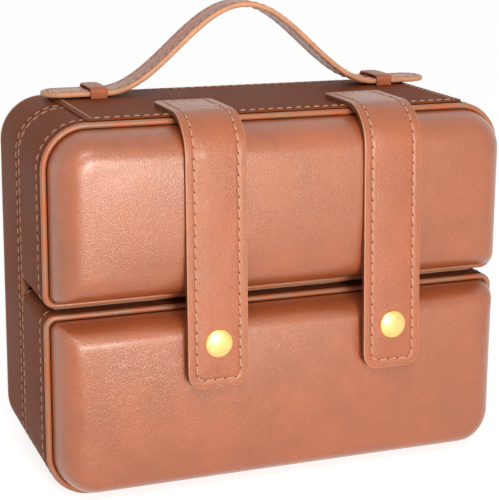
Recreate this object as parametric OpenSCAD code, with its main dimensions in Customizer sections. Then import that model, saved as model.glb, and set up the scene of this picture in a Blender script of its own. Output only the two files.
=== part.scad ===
// Leather jewellery case with a carrying handle and two snap straps.
// Millimetres, +Z up, the front pads face -Y, origin under the middle of the case.
// Depths are named from the plane of the front piping (y = 0) and moved back to the
// origin by placed(), so every front_y value below reads as "behind the front piping".

/* [Case] */
// Width of the case over the sides
case_w = 257; // [230:1:300]
// Depth from the front piping to the back piping
case_d = 102; // [96:1:120]
// Height of the case without its handle
case_h = 197; // [180:1:220]
// Radius of the four large corners seen from the front
corner_r = 24; // [18:1:30]
// Height of the middle of the groove between the two front boxes
split_h = 100.7; // [94:0.1:108]
// Width of the groove between the two front boxes
split_gap = 3.4; // [2.8:0.1:4.5]
// Corner radius of the front boxes beside the groove
groove_r = 7; // [5.5:0.5:9]
// Depth of the two front boxes, back to the middle of the woven binding
seam_y = 55.5; // [52:0.5:60]

/* [Walls] */
// Thickness of the covering leather
leather_t = 1.2; // [0.8:0.1:1.5]
// Thickness of the box board
board_t = 3; // [2:0.5:3.5]
// Thickness of the suede lining
lining_t = 0.8; // [0.5:0.1:1.2]
// Diameter of the piping sewn into the front and back edges
piping_d = 3.2; // [2.4:0.2:4]

/* [Front pads] */
// How far the padded fronts stand out of the piping plane
pad_rise = 18; // [14:0.5:22]
// Width of the rounded border of a padded front
pad_round = 13; // [10:0.5:16]

/* [Straps] */
// Width of a closing strap
strap_w = 32.5; // [28:0.5:40]
// Thickness of a closing strap
strap_t = 3; // [2.4:0.2:3.4]
// Distance between the two straps, middle to middle
strap_spread = 98; // [90:1:110]
// How far the straps and the handle stand to the right of the middle
trim_shift = 5; // [0:0.5:7]
// Height of the strap's free end
strap_end_h = 60.5; // [54:0.5:66]
// Radius of the strap's end corners
strap_end_r = 8; // [4:1:12]
// Diameter of the snap's domed cap
cap_d = 15; // [12.5:0.5:16]
// Height of the snap
snap_h = 84; // [80:0.5:88]
// Angle at which a closed strap leans out from the pads
strap_lean = 2.5; // [1.5:0.5:3.5]

/* [Handle] */
// Width of the handle strap
handle_w = 21; // [18:1:23]
// Thickness of the handle strap
handle_t = 3; // [2.4:0.2:3.2]
// Rise of the handle's arch above its two ends
handle_rise = 46.5; // [40:0.5:50]
// Distance between the two keeper loops, middle to middle
keeper_spread = 171; // [164:1:178]
// Width of a keeper loop
keeper_w = 9.5; // [8:0.5:12]
// Distance between the handle's two rounded ends
handle_len = 230; // [216:1:238]

/* [Inside] */
// Height of the lift-out tray
tray_h = 34; // [24:1:36]
// Number of bays along the tray
tray_bays = 4; // [3:1:5]
// Half the width of the middle bay of the back compartment
bay_half = 66; // [58:1:72]
// Height of the shelf under the mirror
shelf_h = 93; // [86:1:96]

/* [Hidden] */
$fn = 96;
fit = 0.05;
free = 0.4;
joint_gap = 0.6;

overlay_t = 1.2;
overlay_top = case_h + overlay_t;
strap_low = overlay_top + fit;
strap_top = strap_low + strap_t;

// The strap's inner face passes strap_gap before the pads at the end of its bend,
// and leans out from there to snap_face at the height of the snap.
strap_gap = 0.7;
strap_bend_r = 19;
bend_z = strap_low - strap_bend_r;
strap_face = -pad_rise - strap_gap;
snap_face = strap_face - (bend_z - snap_h) * tan(strap_lean);
cap_h = 2.8;
front_reach = (strap_t + cap_h) * cos(strap_lean) - snap_face;
mid_y = (case_d - front_reach) / 2;

lower_top = split_h - split_gap / 2;
upper_low = split_h + split_gap / 2;
binding_w = 2.8;
binding_y0 = seam_y - binding_w / 2;
binding_y1 = seam_y + binding_w / 2;
lid_back = binding_y0 - free;
box_front = piping_d + 0.1;
front_in = box_front + board_t;
rear_skin = case_d - piping_d - fit;
rear_in = rear_skin - board_t;
board_inset = leather_t + fit;
room_inset = board_inset + board_t;
lining_inset = room_inset + lining_t + fit;
partition_y = binding_y0 - fit - board_t;

overlay_w = 212;
overlay_x = 2;
overlay_y0 = piping_d + 0.2;
overlay_y1 = case_d - 5;
hinge_z = overlay_top + 0.1;

strap_pivot_y = 10;
anchor_y1 = 33;
rivet_r = 1.5;
strap_x = [trim_shift - strap_spread / 2, trim_shift + strap_spread / 2];

rim_w = 8;
rim_rise = 8;
rim_t = 1.6;
mouth_half = case_w / 2 - rim_w;
mouth_y0 = box_front + rim_w;
tray_gap = 1.6;
tray_t = 2;
tray_x = mouth_half - rim_t - tray_gap;
tray_y0 = mouth_y0 + rim_t + tray_gap;
tray_y1 = partition_y - lining_t - tray_gap;
tray_top = lower_top - 1;
tray_low = tray_top - tray_h;
tray_pitch = (2 * tray_x - tray_t) / tray_bays;
ledge_h = 5;
store_x = 45;

handle_y0 = 68;
handle_y1 = handle_y0 + handle_w;
handle_mid_y = (handle_y0 + handle_y1) / 2;
keeper_t = 1.6;
keeper_floor = 0.8;
handle_low = overlay_top + keeper_floor + 0.35;
handle_mid_z = handle_low + handle_t / 2;
arch_half = keeper_spread / 2 - keeper_w / 2 - 0.5;
grip_half = 25;
tab_r = 10;

base_half = case_w / 2 - corner_r - 2;
base_y0 = box_front + 1;
base_y1 = rear_skin - 1;

wall_half = case_w / 2 - lining_inset;
hook_z = 176;
hook_r = 3.2;
hook_wire = 1.1;
hook_reach = 6;
mirror_w = 116;
mirror_h = 74;
mirror_z = 150;
roll_d = 11;

// ---- shared shapes ----

// Moves a shape drawn from the front piping plane so that the case stands over the origin
module placed() {
    translate([0, -mid_y, 0])
        children();
}

// Extrudes a front-view outline (x across, y up) from depth y0 to depth y1
module slab(y0, y1) {
    translate([0, y1, 0])
        rotate([90, 0, 0])
            linear_extrude(y1 - y0)
                children();
}

// Front-view outline between two heights, with its own radius below and above
module outline(z0, z1, r_low, r_high, inset) {
    half = case_w / 2 - inset;
    low = z0 + inset;
    high = z1 - inset;
    rl = max(r_low - inset, 0.6);
    rh = max(r_high - inset, 0.6);
    translate([-half, low + rl])
        square([2 * half, high - low - rl - rh]);
    translate([-half + rl, low])
        square([2 * (half - rl), rl]);
    translate([-half + rh, high - rh])
        square([2 * (half - rh), rh]);
    for (side = [-1, 1]) {
        translate([side * (half - rl), low + rl])
            circle(rl);
        translate([side * (half - rh), high - rh])
            circle(rh);
    }
}

module lower_outline(inset) {
    outline(0, lower_top, corner_r, groove_r, inset);
}

module lid_outline(inset) {
    outline(upper_low, case_h, groove_r, corner_r, inset);
}

module rear_outline(inset) {
    outline(0, case_h, corner_r, corner_r, inset);
}

// Box-shaped block between two corners
module block(low, high) {
    translate(low)
        cube(high - low);
}

// Piping bead that follows an outline at depth y
module piping_loop(y, z0, z1, r_low, r_high) {
    pr = piping_d / 2;
    half = case_w / 2;
    edge_x = half - pr;
    translate([0, y, 0])
        rotate([90, 0, 0]) {
            for (side = [-1, 1]) {
                translate([side * edge_x, z0 + r_low, 0])
                    rotate([-90, 0, 0])
                        cylinder(h = z1 - z0 - r_low - r_high, r = pr);
                piping_corner([side * (half - r_low), z0 + r_low], r_low - pr, side > 0 ? 270 : 180);
                piping_corner([side * (half - r_high), z1 - r_high], r_high - pr, side > 0 ? 0 : 90);
            }
            piping_run(half - r_low, z0 + pr);
            piping_run(half - r_high, z1 - pr);
        }
}

module piping_corner(centre, r, start) {
    translate([centre[0], centre[1], 0])
        rotate([0, 0, start])
            rotate_extrude(angle = 90)
                translate([r, 0])
                    circle(piping_d / 2);
}

module piping_run(half, z) {
    translate([-half, z, 0])
        rotate([0, 90, 0])
            cylinder(h = 2 * half, r = piping_d / 2);
}

// Domed pad: steep sides, then slices of the outline shrink towards the front
// along a quarter of a squared-off ellipse
module pad(z0, z1, r_low, r_high) {
    base_inset = piping_d + 0.15;
    square_off = 0.77;
    hull()
        for (turn = [0, 12, 26, 40, 54, 70, 90]) {
            inset = base_inset + pad_round * (1 - pow(cos(turn), square_off));
            reach = (pad_rise + box_front) * pow(sin(turn), square_off);
            pad_slice(z0, z1, r_low, r_high, inset, box_front - fit - reach);
        }
}

module pad_slice(z0, z1, r_low, r_high, inset, y) {
    rl = max(r_low - inset, 1.5);
    rh = max(r_high - inset, 1.5);
    half = case_w / 2 - inset;
    for (side = [-1, 1]) {
        pad_corner(side * (half - rl), y, z0 + inset + rl, rl);
        pad_corner(side * (half - rh), y, z1 - inset - rh, rh);
    }
}

module pad_corner(x, y, z, r) {
    translate([x, y + fit, z])
        rotate([90, 0, 0])
            cylinder(h = fit, r = r, $fn = 32);
}

// The part of a wrapped skin that the sewn bottom panel takes
module base_cut() {
    block([-base_half - fit, base_y0 - fit, -1], [base_half + fit, base_y1 + fit, leather_t + fit]);
}

// ---- lower front box ----

module lower_box() {
    color("tan")
        placed()
            difference() {
                slab(box_front, binding_y0 - fit)
                    lower_outline(board_inset);
                slab(front_in, partition_y)
                    lower_outline(room_inset);
                block([-mouth_half, mouth_y0, lower_top - room_inset - 1],
                      [mouth_half, partition_y, lower_top + 1]);
            }
}

module lower_gusset() {
    color("sienna")
        placed()
            difference() {
                slab(box_front, binding_y0 - fit)
                    lower_outline(0);
                slab(box_front - 1, binding_y0 + 1)
                    lower_outline(leather_t);
                block([-mouth_half, mouth_y0, lower_top - leather_t - 1],
                      [mouth_half, binding_y0 + 1, lower_top + 1]);
                base_cut();
            }
}

module lower_lining() {
    color("wheat")
        placed()
            difference() {
                slab(front_in + fit, partition_y - fit)
                    lower_outline(room_inset + fit);
                slab(front_in + lining_t, partition_y - lining_t)
                    lower_outline(lining_inset);
                block([-mouth_half, mouth_y0, lower_top - lining_inset - 1],
                      [mouth_half, partition_y - lining_t, lower_top + 1]);
            }
}

// Stiffened lip around the mouth, which closes the groove from inside
module lower_rim() {
    color("wheat")
        placed()
            difference() {
                block([-mouth_half + fit, mouth_y0 + fit, lower_top - 4],
                      [mouth_half - fit, partition_y - lining_t, upper_low + rim_rise]);
                block([-mouth_half + rim_t, mouth_y0 + rim_t, lower_top - 5],
                      [mouth_half - rim_t, partition_y + 1, upper_low + rim_rise + 1]);
            }
}

module lower_piping() {
    color("peru")
        placed()
            piping_loop(piping_d / 2, 0, lower_top, corner_r, groove_r);
}

module lower_pad() {
    color("chocolate")
        placed()
            pad(0, lower_top, corner_r, groove_r);
}

module base_panel() {
    color("sienna")
        placed()
            block([-base_half, base_y0, 0], [base_half, base_y1, leather_t]);
}

module seam_binding() {
    color("darkkhaki")
        placed()
            difference() {
                slab(binding_y0, binding_y1)
                    rear_outline(0.5);
                slab(binding_y0 - 1, binding_y1 + 1)
                    rear_outline(room_inset);
                base_cut();
            }
}

// Stud on the lower pad: a washer, a post and a head that the socket grips
module snap_stud(x) {
    color("gold")
        placed()
            translate([x, -pad_rise - 2 * fit, snap_h])
                rotate([90, 0, 0]) {
                    cylinder(h = 0.6, r = 5);
                    cylinder(h = 3.2, r = 2.1);
                    translate([0, 0, 2.8])
                        cylinder(h = 0.8, r = 2.6);
                }
}

module snap_stud_left() {
    snap_stud(strap_x[0]);
}

module snap_stud_right() {
    snap_stud(strap_x[1]);
}

// ---- full-height back section ----

module rear_box() {
    color("tan")
        placed()
            difference() {
                slab(binding_y1 + fit, rear_skin)
                    rear_outline(board_inset);
                slab(binding_y1 - 1, rear_in)
                    rear_outline(room_inset);
            }
}

module rear_gusset() {
    color("sienna")
        placed()
            difference() {
                slab(binding_y1 + fit, rear_skin)
                    rear_outline(0);
                slab(binding_y1 - 1, rear_skin + 1)
                    rear_outline(leather_t);
                base_cut();
            }
}

module rear_panel() {
    color("sienna")
        placed()
            slab(rear_skin + fit, case_d - 0.8)
                rear_outline(piping_d + 0.15);
}

module rear_piping() {
    color("peru")
        placed()
            piping_loop(case_d - piping_d / 2, 0, case_h, corner_r, corner_r);
}

module rear_lining() {
    color("wheat")
        placed()
            difference() {
                slab(binding_y1 + fit, rear_in - fit)
                    rear_outline(room_inset + fit);
                slab(binding_y1 - 1, rear_in - lining_t)
                    rear_outline(lining_inset);
            }
}

module bay_wall(side) {
    wall_x = side * bay_half;
    color("wheat")
        placed()
            block([wall_x - 1.2, binding_y1 + 0.5, lining_inset + fit],
                  [wall_x + 1.2, rear_in - lining_t - fit, case_h - lining_inset - fit]);
}

module bay_wall_left() {
    bay_wall(-1);
}

module bay_wall_right() {
    bay_wall(1);
}

module ring_shelf() {
    color("wheat")
        placed()
            block([-bay_half + 1.25, binding_y1 + 0.5, shelf_h - 2.4],
                  [bay_half - 1.25, rear_in - lining_t - fit, shelf_h]);
}

// Three suede rolls side by side on a stuffed base; rings stand in the clefts
module ring_rolls() {
    half = bay_half - 3;
    y0 = binding_y1 + 1.2;
    color("burlywood")
        placed() {
            block([-half, y0, shelf_h + fit], [half, y0 + 3 * roll_d, shelf_h + roll_d / 2]);
            for (row = [0:2])
                translate([-half, y0 + roll_d * (row + 0.5), shelf_h + roll_d / 2])
                    rotate([0, 90, 0])
                        cylinder(h = 2 * half, r = roll_d / 2);
        }
}

module mirror_frame() {
    back = rear_in - lining_t - fit;
    color("sienna")
        placed()
            difference() {
                mirror_plate(mirror_w, mirror_h, 6, back - 3, back);
                mirror_plate(mirror_w - 10, mirror_h - 10, 3, back - 4, back - 1);
            }
}

module mirror_glass() {
    back = rear_in - lining_t - fit;
    color("lightsteelblue")
        placed()
            mirror_plate(mirror_w - 10.2, mirror_h - 10.2, 2.9, back - 2.4, back - 1 - fit);
}

// Upright plate with round corners, centred on the mirror
module mirror_plate(w, h, r, y0, y1) {
    translate([0, 0, mirror_z])
        slab(y0, y1) {
            square([w, h - 2 * r], center = true);
            square([w - 2 * r, h], center = true);
            for (x = [-1, 1], z = [-1, 1])
                translate([x * (w / 2 - r), z * (h / 2 - r)])
                    circle(r);
        }
}

module hook_bar(side) {
    back = rear_in - lining_t - 2 * fit;
    x0 = bay_half + 6;
    x1 = wall_half - 6;
    color("sienna")
        placed()
            translate([side * (x0 + x1) / 2, 0, hook_z + 6])
                block([-(x1 - x0) / 2, back - 4, -5], [(x1 - x0) / 2, back, 5]);
}

module hook_bar_left() {
    hook_bar(-1);
}

module hook_bar_right() {
    hook_bar(1);
}

// One wire hook: a peg out of the bar, a quarter bend upwards and a ball tip
module wire_hook(x) {
    bar_face = rear_in - lining_t - 2 * fit - 4;
    translate([x, bar_face, hook_z + 6]) {
        rotate([90, 0, 0])
            cylinder(h = 0.8, r = 2.6);
        rotate([90, 0, 0])
            cylinder(h = hook_reach, r = hook_wire);
        translate([0, -hook_reach, hook_r])
            rotate([90, 0, 90])
                rotate([0, 0, 180])
                    rotate_extrude(angle = 90)
                        translate([hook_r, 0])
                            circle(hook_wire);
        translate([0, -hook_reach - hook_r, hook_r]) {
            cylinder(h = 1.5, r = hook_wire);
            translate([0, 0, 2.6])
                sphere(1.7);
        }
    }
}

module necklace_hooks(side) {
    x_mid = side * (bay_half + wall_half) / 2;
    color("gold")
        placed()
            for (step = [-1, 0, 1])
                wire_hook(x_mid + step * 13);
}

module necklace_hooks_left() {
    necklace_hooks(-1);
}

module necklace_hooks_right() {
    necklace_hooks(1);
}

// Flat gathered pocket that holds the hanging ends of the necklaces
module chain_pocket(side) {
    back = rear_in - lining_t - fit;
    x_mid = side * (bay_half + wall_half) / 2;
    color("burlywood")
        placed()
            translate([x_mid, 0, 0])
                block([-24, back - 7, 26], [24, back, 84]);
}

module chain_pocket_left() {
    chain_pocket(-1);
}

module chain_pocket_right() {
    chain_pocket(1);
}

// Top leather panel, sewn over both sections: its bend between them is the lid's hinge
module overlay(y0, y1) {
    color("sienna")
        placed()
            block([overlay_x - overlay_w / 2, y0, case_h + fit],
                  [overlay_x + overlay_w / 2, y1, overlay_top]);
}

module overlay_rear() {
    overlay(seam_y + joint_gap, overlay_y1);
}

module keeper(side) {
    x = trim_shift + side * keeper_spread / 2;
    color("chocolate")
        placed()
            translate([x - keeper_w / 2, 0, overlay_top + fit])
                rotate([90, 0, 90])
                    linear_extrude(keeper_w)
                        difference() {
                            keeper_section(keeper_t + 0.5, 0, keeper_floor + handle_t + 0.9 + keeper_t);
                            keeper_section(0.5, keeper_floor, keeper_floor + handle_t + 0.9);
                        }
}

// Side view of the loop: a low rectangle with two round upper corners
module keeper_section(grow, low, high) {
    r = grow + 0.6;
    y0 = handle_y0 - grow;
    y1 = handle_y1 + grow;
    translate([y0, low])
        square([y1 - y0, high - low - r]);
    translate([y0 + r, high - r])
        square([y1 - y0 - 2 * r, r]);
    for (y = [y0 + r, y1 - r])
        translate([y, high - r])
            circle(r);
}

module keeper_left() {
    keeper(-1);
}

module keeper_right() {
    keeper(1);
}

module tray_ledge(side) {
    x0 = tray_x - 5;
    color("wheat")
        placed()
            mirror([side < 0 ? 1 : 0, 0, 0])
                block([x0, front_in + lining_t + 2, tray_low - 0.1 - ledge_h],
                      [wall_half - fit, partition_y - lining_t - 2, tray_low - 0.1]);
}

module tray_ledge_left() {
    tray_ledge(-1);
}

module tray_ledge_right() {
    tray_ledge(1);
}

module store_dividers() {
    color("wheat")
        placed()
            for (x = [-store_x, store_x])
                block([x - 1, front_in + lining_t + fit, lining_inset + fit],
                      [x + 1, partition_y - lining_t - fit, tray_low - 2]);
}

// ---- lid: the upper front box ----

module lid_box() {
    color("tan")
        placed()
            difference() {
                slab(box_front, lid_back)
                    lid_outline(board_inset);
                slab(front_in, lid_back + 1)
                    lid_outline(room_inset);
                block([-mouth_half - 1, mouth_y0 - 1, upper_low - 1],
                      [mouth_half + 1, lid_back + 1, upper_low + room_inset + 1]);
            }
}

module lid_gusset() {
    color("sienna")
        placed()
            difference() {
                slab(box_front, lid_back)
                    lid_outline(0);
                slab(box_front - 1, lid_back + 1)
                    lid_outline(leather_t);
                block([-mouth_half - 1, mouth_y0 - 1, upper_low - 1],
                      [mouth_half + 1, lid_back + 1, upper_low + room_inset + 1]);
            }
}

module lid_lining() {
    color("wheat")
        placed()
            difference() {
                slab(front_in + fit, lid_back - 0.5)
                    lid_outline(room_inset + fit);
                slab(front_in + lining_t, lid_back + 1)
                    lid_outline(lining_inset);
                block([-mouth_half - 1, mouth_y0 - 1, upper_low - 1],
                      [mouth_half + 1, lid_back + 1, upper_low + lining_inset + 1]);
            }
}

module lid_piping() {
    color("peru")
        placed()
            piping_loop(piping_d / 2, upper_low, case_h, groove_r, corner_r);
}

module lid_pad() {
    color("chocolate")
        placed()
            pad(upper_low, case_h, groove_r, corner_r);
}

module lid_pocket() {
    face = front_in + lining_t + fit;
    color("burlywood")
        placed()
            block([-70, face, upper_low + 16], [70, face + 3, upper_low + 66]);
}

module overlay_front() {
    overlay(overlay_y0, seam_y - joint_gap);
}

module strap_anchor(x) {
    color("chocolate")
        placed()
            block([x - strap_w / 2, strap_pivot_y + joint_gap, strap_low],
                  [x + strap_w / 2, anchor_y1, strap_top]);
}

module strap_anchor_left() {
    strap_anchor(strap_x[0]);
}

module strap_anchor_right() {
    strap_anchor(strap_x[1]);
}

// ---- closing straps ----

// A point of the strap's bend at a radius, turned down from the top
function bend_point(r, turn) =
    [strap_face + strap_bend_r / cos(strap_lean) - r * sin(turn), bend_z + r * cos(turn)];

// Side view of a strap: along the top, round the front edge and down the front
module strap_section() {
    steps = 16;
    turn = 90 - strap_lean;
    outer = strap_bend_r + strap_t;
    end_y = strap_pivot_y - joint_gap;
    down = (bend_z - strap_end_h + 4) * [-tan(strap_lean), -1];
    over = [for (k = [0:steps]) bend_point(outer, turn * k / steps)];
    under = [for (k = [steps:-1:0]) bend_point(strap_bend_r, turn * k / steps)];
    polygon(concat([[end_y, strap_top]], over, [over[steps] + down, under[0] + down],
                   under, [[end_y, strap_low]]));
}

// Front view of a strap's outline with its round lower corners
module strap_outline() {
    translate([-strap_w / 2, strap_end_h + strap_end_r])
        square([strap_w, strap_top - strap_end_h - strap_end_r + 1]);
    translate([-strap_w / 2 + strap_end_r, strap_end_h])
        square([strap_w - 2 * strap_end_r, strap_end_r]);
    for (side = [-1, 1])
        translate([side * (strap_w / 2 - strap_end_r), strap_end_h + strap_end_r])
            circle(strap_end_r);
}

module strap(x) {
    color("chocolate")
        difference() {
            placed()
                translate([x, 0, 0])
                    intersection() {
                        translate([-strap_w / 2 - 2, 0, 0])
                            rotate([90, 0, 90])
                                linear_extrude(strap_w + 4)
                                    strap_section();
                        slab(snap_face - 10, strap_pivot_y)
                            strap_outline();
                    }
            on_strap(x)
                translate([0, 1, 0])
                    rotate([90, 0, 0])
                        cylinder(h = strap_t + 2, r = rivet_r + 0.1);
        }
}

// A place on the strap at the snap: its inner face is the plane y = 0 and leans out
module on_strap(x) {
    placed()
        translate([x, snap_face, snap_h])
            rotate([-strap_lean, 0, 0])
                children();
}

module strap_left() {
    strap(strap_x[0]);
}

module strap_right() {
    strap(strap_x[1]);
}

// Domed cap on the strap's face, with the rivet that goes through the strap
module snap_cap(x) {
    rim = 0.7;
    dome_h = cap_h - rim;
    half = cap_d / 2;
    ball = (half * half + dome_h * dome_h) / (2 * dome_h);
    color("gold")
        on_strap(x) {
            translate([0, -strap_t - fit, 0])
                rotate([90, 0, 0])
                    rotate_extrude() {
                        square([half, rim]);
                        intersection() {
                            translate([0, cap_h - fit - ball])
                                circle(ball);
                            translate([0, rim])
                                square([half, dome_h]);
                        }
                    }
            rotate([90, 0, 0])
                cylinder(h = strap_t + 0.5, r = rivet_r);
        }
}

module snap_cap_left() {
    snap_cap(strap_x[0]);
}

module snap_cap_right() {
    snap_cap(strap_x[1]);
}

// Cup under the strap that closes over the stud
module snap_socket(x) {
    deep = 2.4;
    floor_t = 0.5;
    color("gold")
        on_strap(x)
            translate([0, deep + fit, 0])
                rotate([90, 0, 0])
                    difference() {
                        cylinder(h = deep, r = 5.5);
                        translate([0, 0, -1])
                            cylinder(h = deep - floor_t + 1, r = 4.2);
                    }
}

module snap_socket_left() {
    snap_socket(strap_x[0]);
}

module snap_socket_right() {
    snap_socket(strap_x[1]);
}

// ---- handle ----

// Height of the middle of the handle strap at a distance from the handle's middle
function arch(x) = handle_mid_z + handle_rise * (1 + cos(180 * min(abs(x), arch_half) / arch_half)) / 2;

// Slope of the arch there
function arch_slope(x) =
    -handle_rise * 180 / arch_half * sin(180 * x / arch_half) / 2 * PI / 180;

// A point of the strap's upper (+1) or lower (-1) face above or below the arch line
function arch_side(x, face) =
    let (steep = sqrt(1 + pow(arch_slope(x), 2)))
    [x - face * handle_t / 2 * arch_slope(x) / steep, arch(x) + face * handle_t / 2 / steep];

module arch_band(x0, x1, steps) {
    xs = [for (i = [0:steps]) x0 + (x1 - x0) * i / steps];
    upper = [for (x = xs) arch_side(x, 1)];
    lower = [for (i = [steps:-1:0]) arch_side(xs[i], -1)];
    placed()
        translate([trim_shift, handle_y1, 0])
            rotate([90, 0, 0])
                linear_extrude(handle_w)
                    polygon(concat(upper, lower));
}

module handle_grip() {
    color("chocolate")
        arch_band(-grip_half, grip_half, 12);
}

module handle_arm(side) {
    color("chocolate")
        mirror_x(side)
            arch_band(grip_half + 0.3, arch_half - 0.3, 14);
}

// Mirrors a shape to the left of the handle's own middle
module mirror_x(side) {
    translate([trim_shift, 0, 0])
        mirror([side < 0 ? 1 : 0, 0, 0])
            translate([-trim_shift, 0, 0])
                children();
}

module handle_arm_left() {
    handle_arm(-1);
}

module handle_arm_right() {
    handle_arm(1);
}

// Flat end of the handle that runs through the keeper and stops in a round tip
module handle_tab(side) {
    tip = handle_len / 2 - tab_r;
    color("chocolate")
        mirror_x(side)
            placed()
                translate([trim_shift, handle_mid_y, handle_low])
                    linear_extrude(handle_t) {
                        translate([arch_half, -handle_w / 2])
                            square([tip - arch_half, handle_w]);
                        translate([tip, -handle_w / 2 + tab_r])
                            square([tab_r, handle_w - 2 * tab_r]);
                        for (y = [-1, 1])
                            translate([tip, y * (handle_w / 2 - tab_r)])
                                circle(tab_r);
                    }
}

module handle_tab_left() {
    handle_tab(-1);
}

module handle_tab_right() {
    handle_tab(1);
}

// ---- lift-out tray ----

module tray_box() {
    color("tan")
        placed()
            difference() {
                block([-tray_x, tray_y0, tray_low], [tray_x, tray_y1, tray_top]);
                block([-tray_x + tray_t, tray_y0 + tray_t, tray_low + tray_t],
                      [tray_x - tray_t, tray_y1 - tray_t, tray_top + 1]);
            }
}

module tray_dividers() {
    color("wheat")
        placed()
            for (i = [1:tray_bays - 1]) {
                x = -tray_x + tray_t / 2 + i * tray_pitch;
                block([x - 1, tray_y0 + tray_t + lining_t + fit, tray_low + tray_t + lining_t + fit],
                      [x + 1, tray_y1 - tray_t - lining_t - fit, tray_top - 3]);
            }
}

module tray_lining() {
    skin = tray_t + fit;
    room = skin + lining_t;
    color("wheat")
        placed()
            difference() {
                block([-tray_x + skin, tray_y0 + skin, tray_low + skin],
                      [tray_x - skin, tray_y1 - skin, tray_top - 0.5]);
                block([-tray_x + room, tray_y0 + room, tray_low + room],
                      [tray_x - room, tray_y1 - room, tray_top + 1]);
            }
}

// Row of suede rolls in the first bay
module tray_ring_roll() {
    x0 = -tray_x + tray_t + lining_t + 0.6;
    x1 = -tray_x + tray_pitch - tray_t / 2 - 0.6;
    count = 4;
    pitch = (x1 - x0) / count;
    y0 = tray_y0 + tray_t + lining_t + 0.6;
    y1 = tray_y1 - tray_t - lining_t - 0.6;
    low = tray_low + tray_t + lining_t + 2 * fit;
    color("burlywood")
        placed() {
            block([x0, y0, low], [x1, y1, low + 12]);
            for (i = [0:count - 1])
                translate([x0 + pitch * (i + 0.5), y0, low + 12])
                    rotate([-90, 0, 0])
                        cylinder(h = y1 - y0, r = pitch / 2);
        }
}

// Ribbon loops at the two ends of the tray
module tray_pulls() {
    color("sienna")
        placed()
            for (side = [-1, 1])
                translate([side * (tray_x - tray_t - lining_t - 1), (tray_y0 + tray_y1) / 2, tray_top - 8])
                    rotate([0, 90, 0])
                        translate([0, 0, -0.5])
                            linear_extrude(1)
                                difference() {
                                    pull_shape(7);
                                    pull_shape(4);
                                }
}

module pull_shape(r) {
    translate([-11, -r])
        square([11, 2 * r]);
    translate([-11, 0])
        circle(r);
}

lower_box();
lower_gusset();
lower_lining();
lower_rim();
lower_piping();
lower_pad();
base_panel();
seam_binding();
snap_stud_left();
snap_stud_right();
rear_box();
rear_gusset();
rear_panel();
rear_piping();
rear_lining();
bay_wall_left();
bay_wall_right();
ring_shelf();
ring_rolls();
mirror_frame();
mirror_glass();
hook_bar_left();
hook_bar_right();
necklace_hooks_left();
necklace_hooks_right();
chain_pocket_left();
chain_pocket_right();
overlay_rear();
keeper_left();
keeper_right();
tray_ledge_left();
tray_ledge_right();
store_dividers();
lid_box();
lid_gusset();
lid_lining();
lid_piping();
lid_pad();
lid_pocket();
overlay_front();
strap_anchor_left();
strap_anchor_right();
strap_left();
strap_right();
snap_cap_left();
snap_cap_right();
snap_socket_left();
snap_socket_right();
handle_grip();
handle_arm_left();
handle_arm_right();
handle_tab_left();
handle_tab_right();
tray_box();
tray_dividers();
tray_lining();
tray_ring_roll();
tray_pulls();
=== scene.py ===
"""Leather jewellery case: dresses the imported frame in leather, thread, brass, suede and glass"""

import math

import bmesh
import bpy
import numpy as np
from bpy.props import FloatProperty, FloatVectorProperty, IntProperty, PointerProperty
from mathutils import Matrix, Vector, kdtree, noise


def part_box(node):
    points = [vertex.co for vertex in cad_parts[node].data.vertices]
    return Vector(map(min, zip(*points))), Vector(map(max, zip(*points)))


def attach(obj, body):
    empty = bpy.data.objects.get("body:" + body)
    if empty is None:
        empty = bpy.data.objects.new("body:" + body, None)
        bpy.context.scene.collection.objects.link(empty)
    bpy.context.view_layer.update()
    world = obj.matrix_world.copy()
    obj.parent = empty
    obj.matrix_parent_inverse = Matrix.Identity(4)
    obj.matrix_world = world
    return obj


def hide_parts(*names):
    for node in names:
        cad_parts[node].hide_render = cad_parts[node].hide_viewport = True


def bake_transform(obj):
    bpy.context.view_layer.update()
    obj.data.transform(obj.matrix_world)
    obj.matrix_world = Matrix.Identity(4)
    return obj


bl_info = {
    "name": "Leather Jewellery Case",
    "version": (1, 0, 0),
    "blender": (4, 5, 0),
    "location": "View3D > Sidebar > Jewellery Case",
    "description": "Dresses a jewellery case in leather, thread, brass, suede and glass",
    "category": "Add Mesh",
}

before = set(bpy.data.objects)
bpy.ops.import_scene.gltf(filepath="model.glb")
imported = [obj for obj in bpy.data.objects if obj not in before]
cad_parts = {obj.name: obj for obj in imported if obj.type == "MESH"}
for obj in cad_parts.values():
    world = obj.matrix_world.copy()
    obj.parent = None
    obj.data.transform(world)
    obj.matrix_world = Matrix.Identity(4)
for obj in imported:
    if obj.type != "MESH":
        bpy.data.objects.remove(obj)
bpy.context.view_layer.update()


# ---------------------------------------------------------------- sizes

def box(node):
    """Lowest and highest corner of a CAD node in millimetres"""
    low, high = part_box(node)
    return np.array(low) * 1000, np.array(high) * 1000


class Case:
    """Sizes of the case in millimetres, read from the frame"""

    half = box("rear_gusset")[1][0]
    height = box("rear_gusset")[1][2]
    lower_top = box("lower_gusset")[1][2]
    upper_low = box("lid_gusset")[0][2]
    front = box("lower_piping")[0][1]
    box_front = box("lower_gusset")[0][1]
    lower_back = box("lower_gusset")[1][1]
    rear_front = box("rear_gusset")[0][1]
    rear_back = box("rear_gusset")[1][1]
    back = box("rear_piping")[1][1]
    pad_inset = half - box("lower_pad")[1][0]
    mouth = half - 8.0
    mouth_y = box_front + 8.0
    strap_thick = 3.0
    strap_bend = 19.0
    strap_lean = math.radians(2.5)
    seam = (box("seam_binding")[0][1] + box("seam_binding")[1][1]) / 2
    leather = 1.2


def settings():
    return bpy.context.scene.jewellery_case


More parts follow.
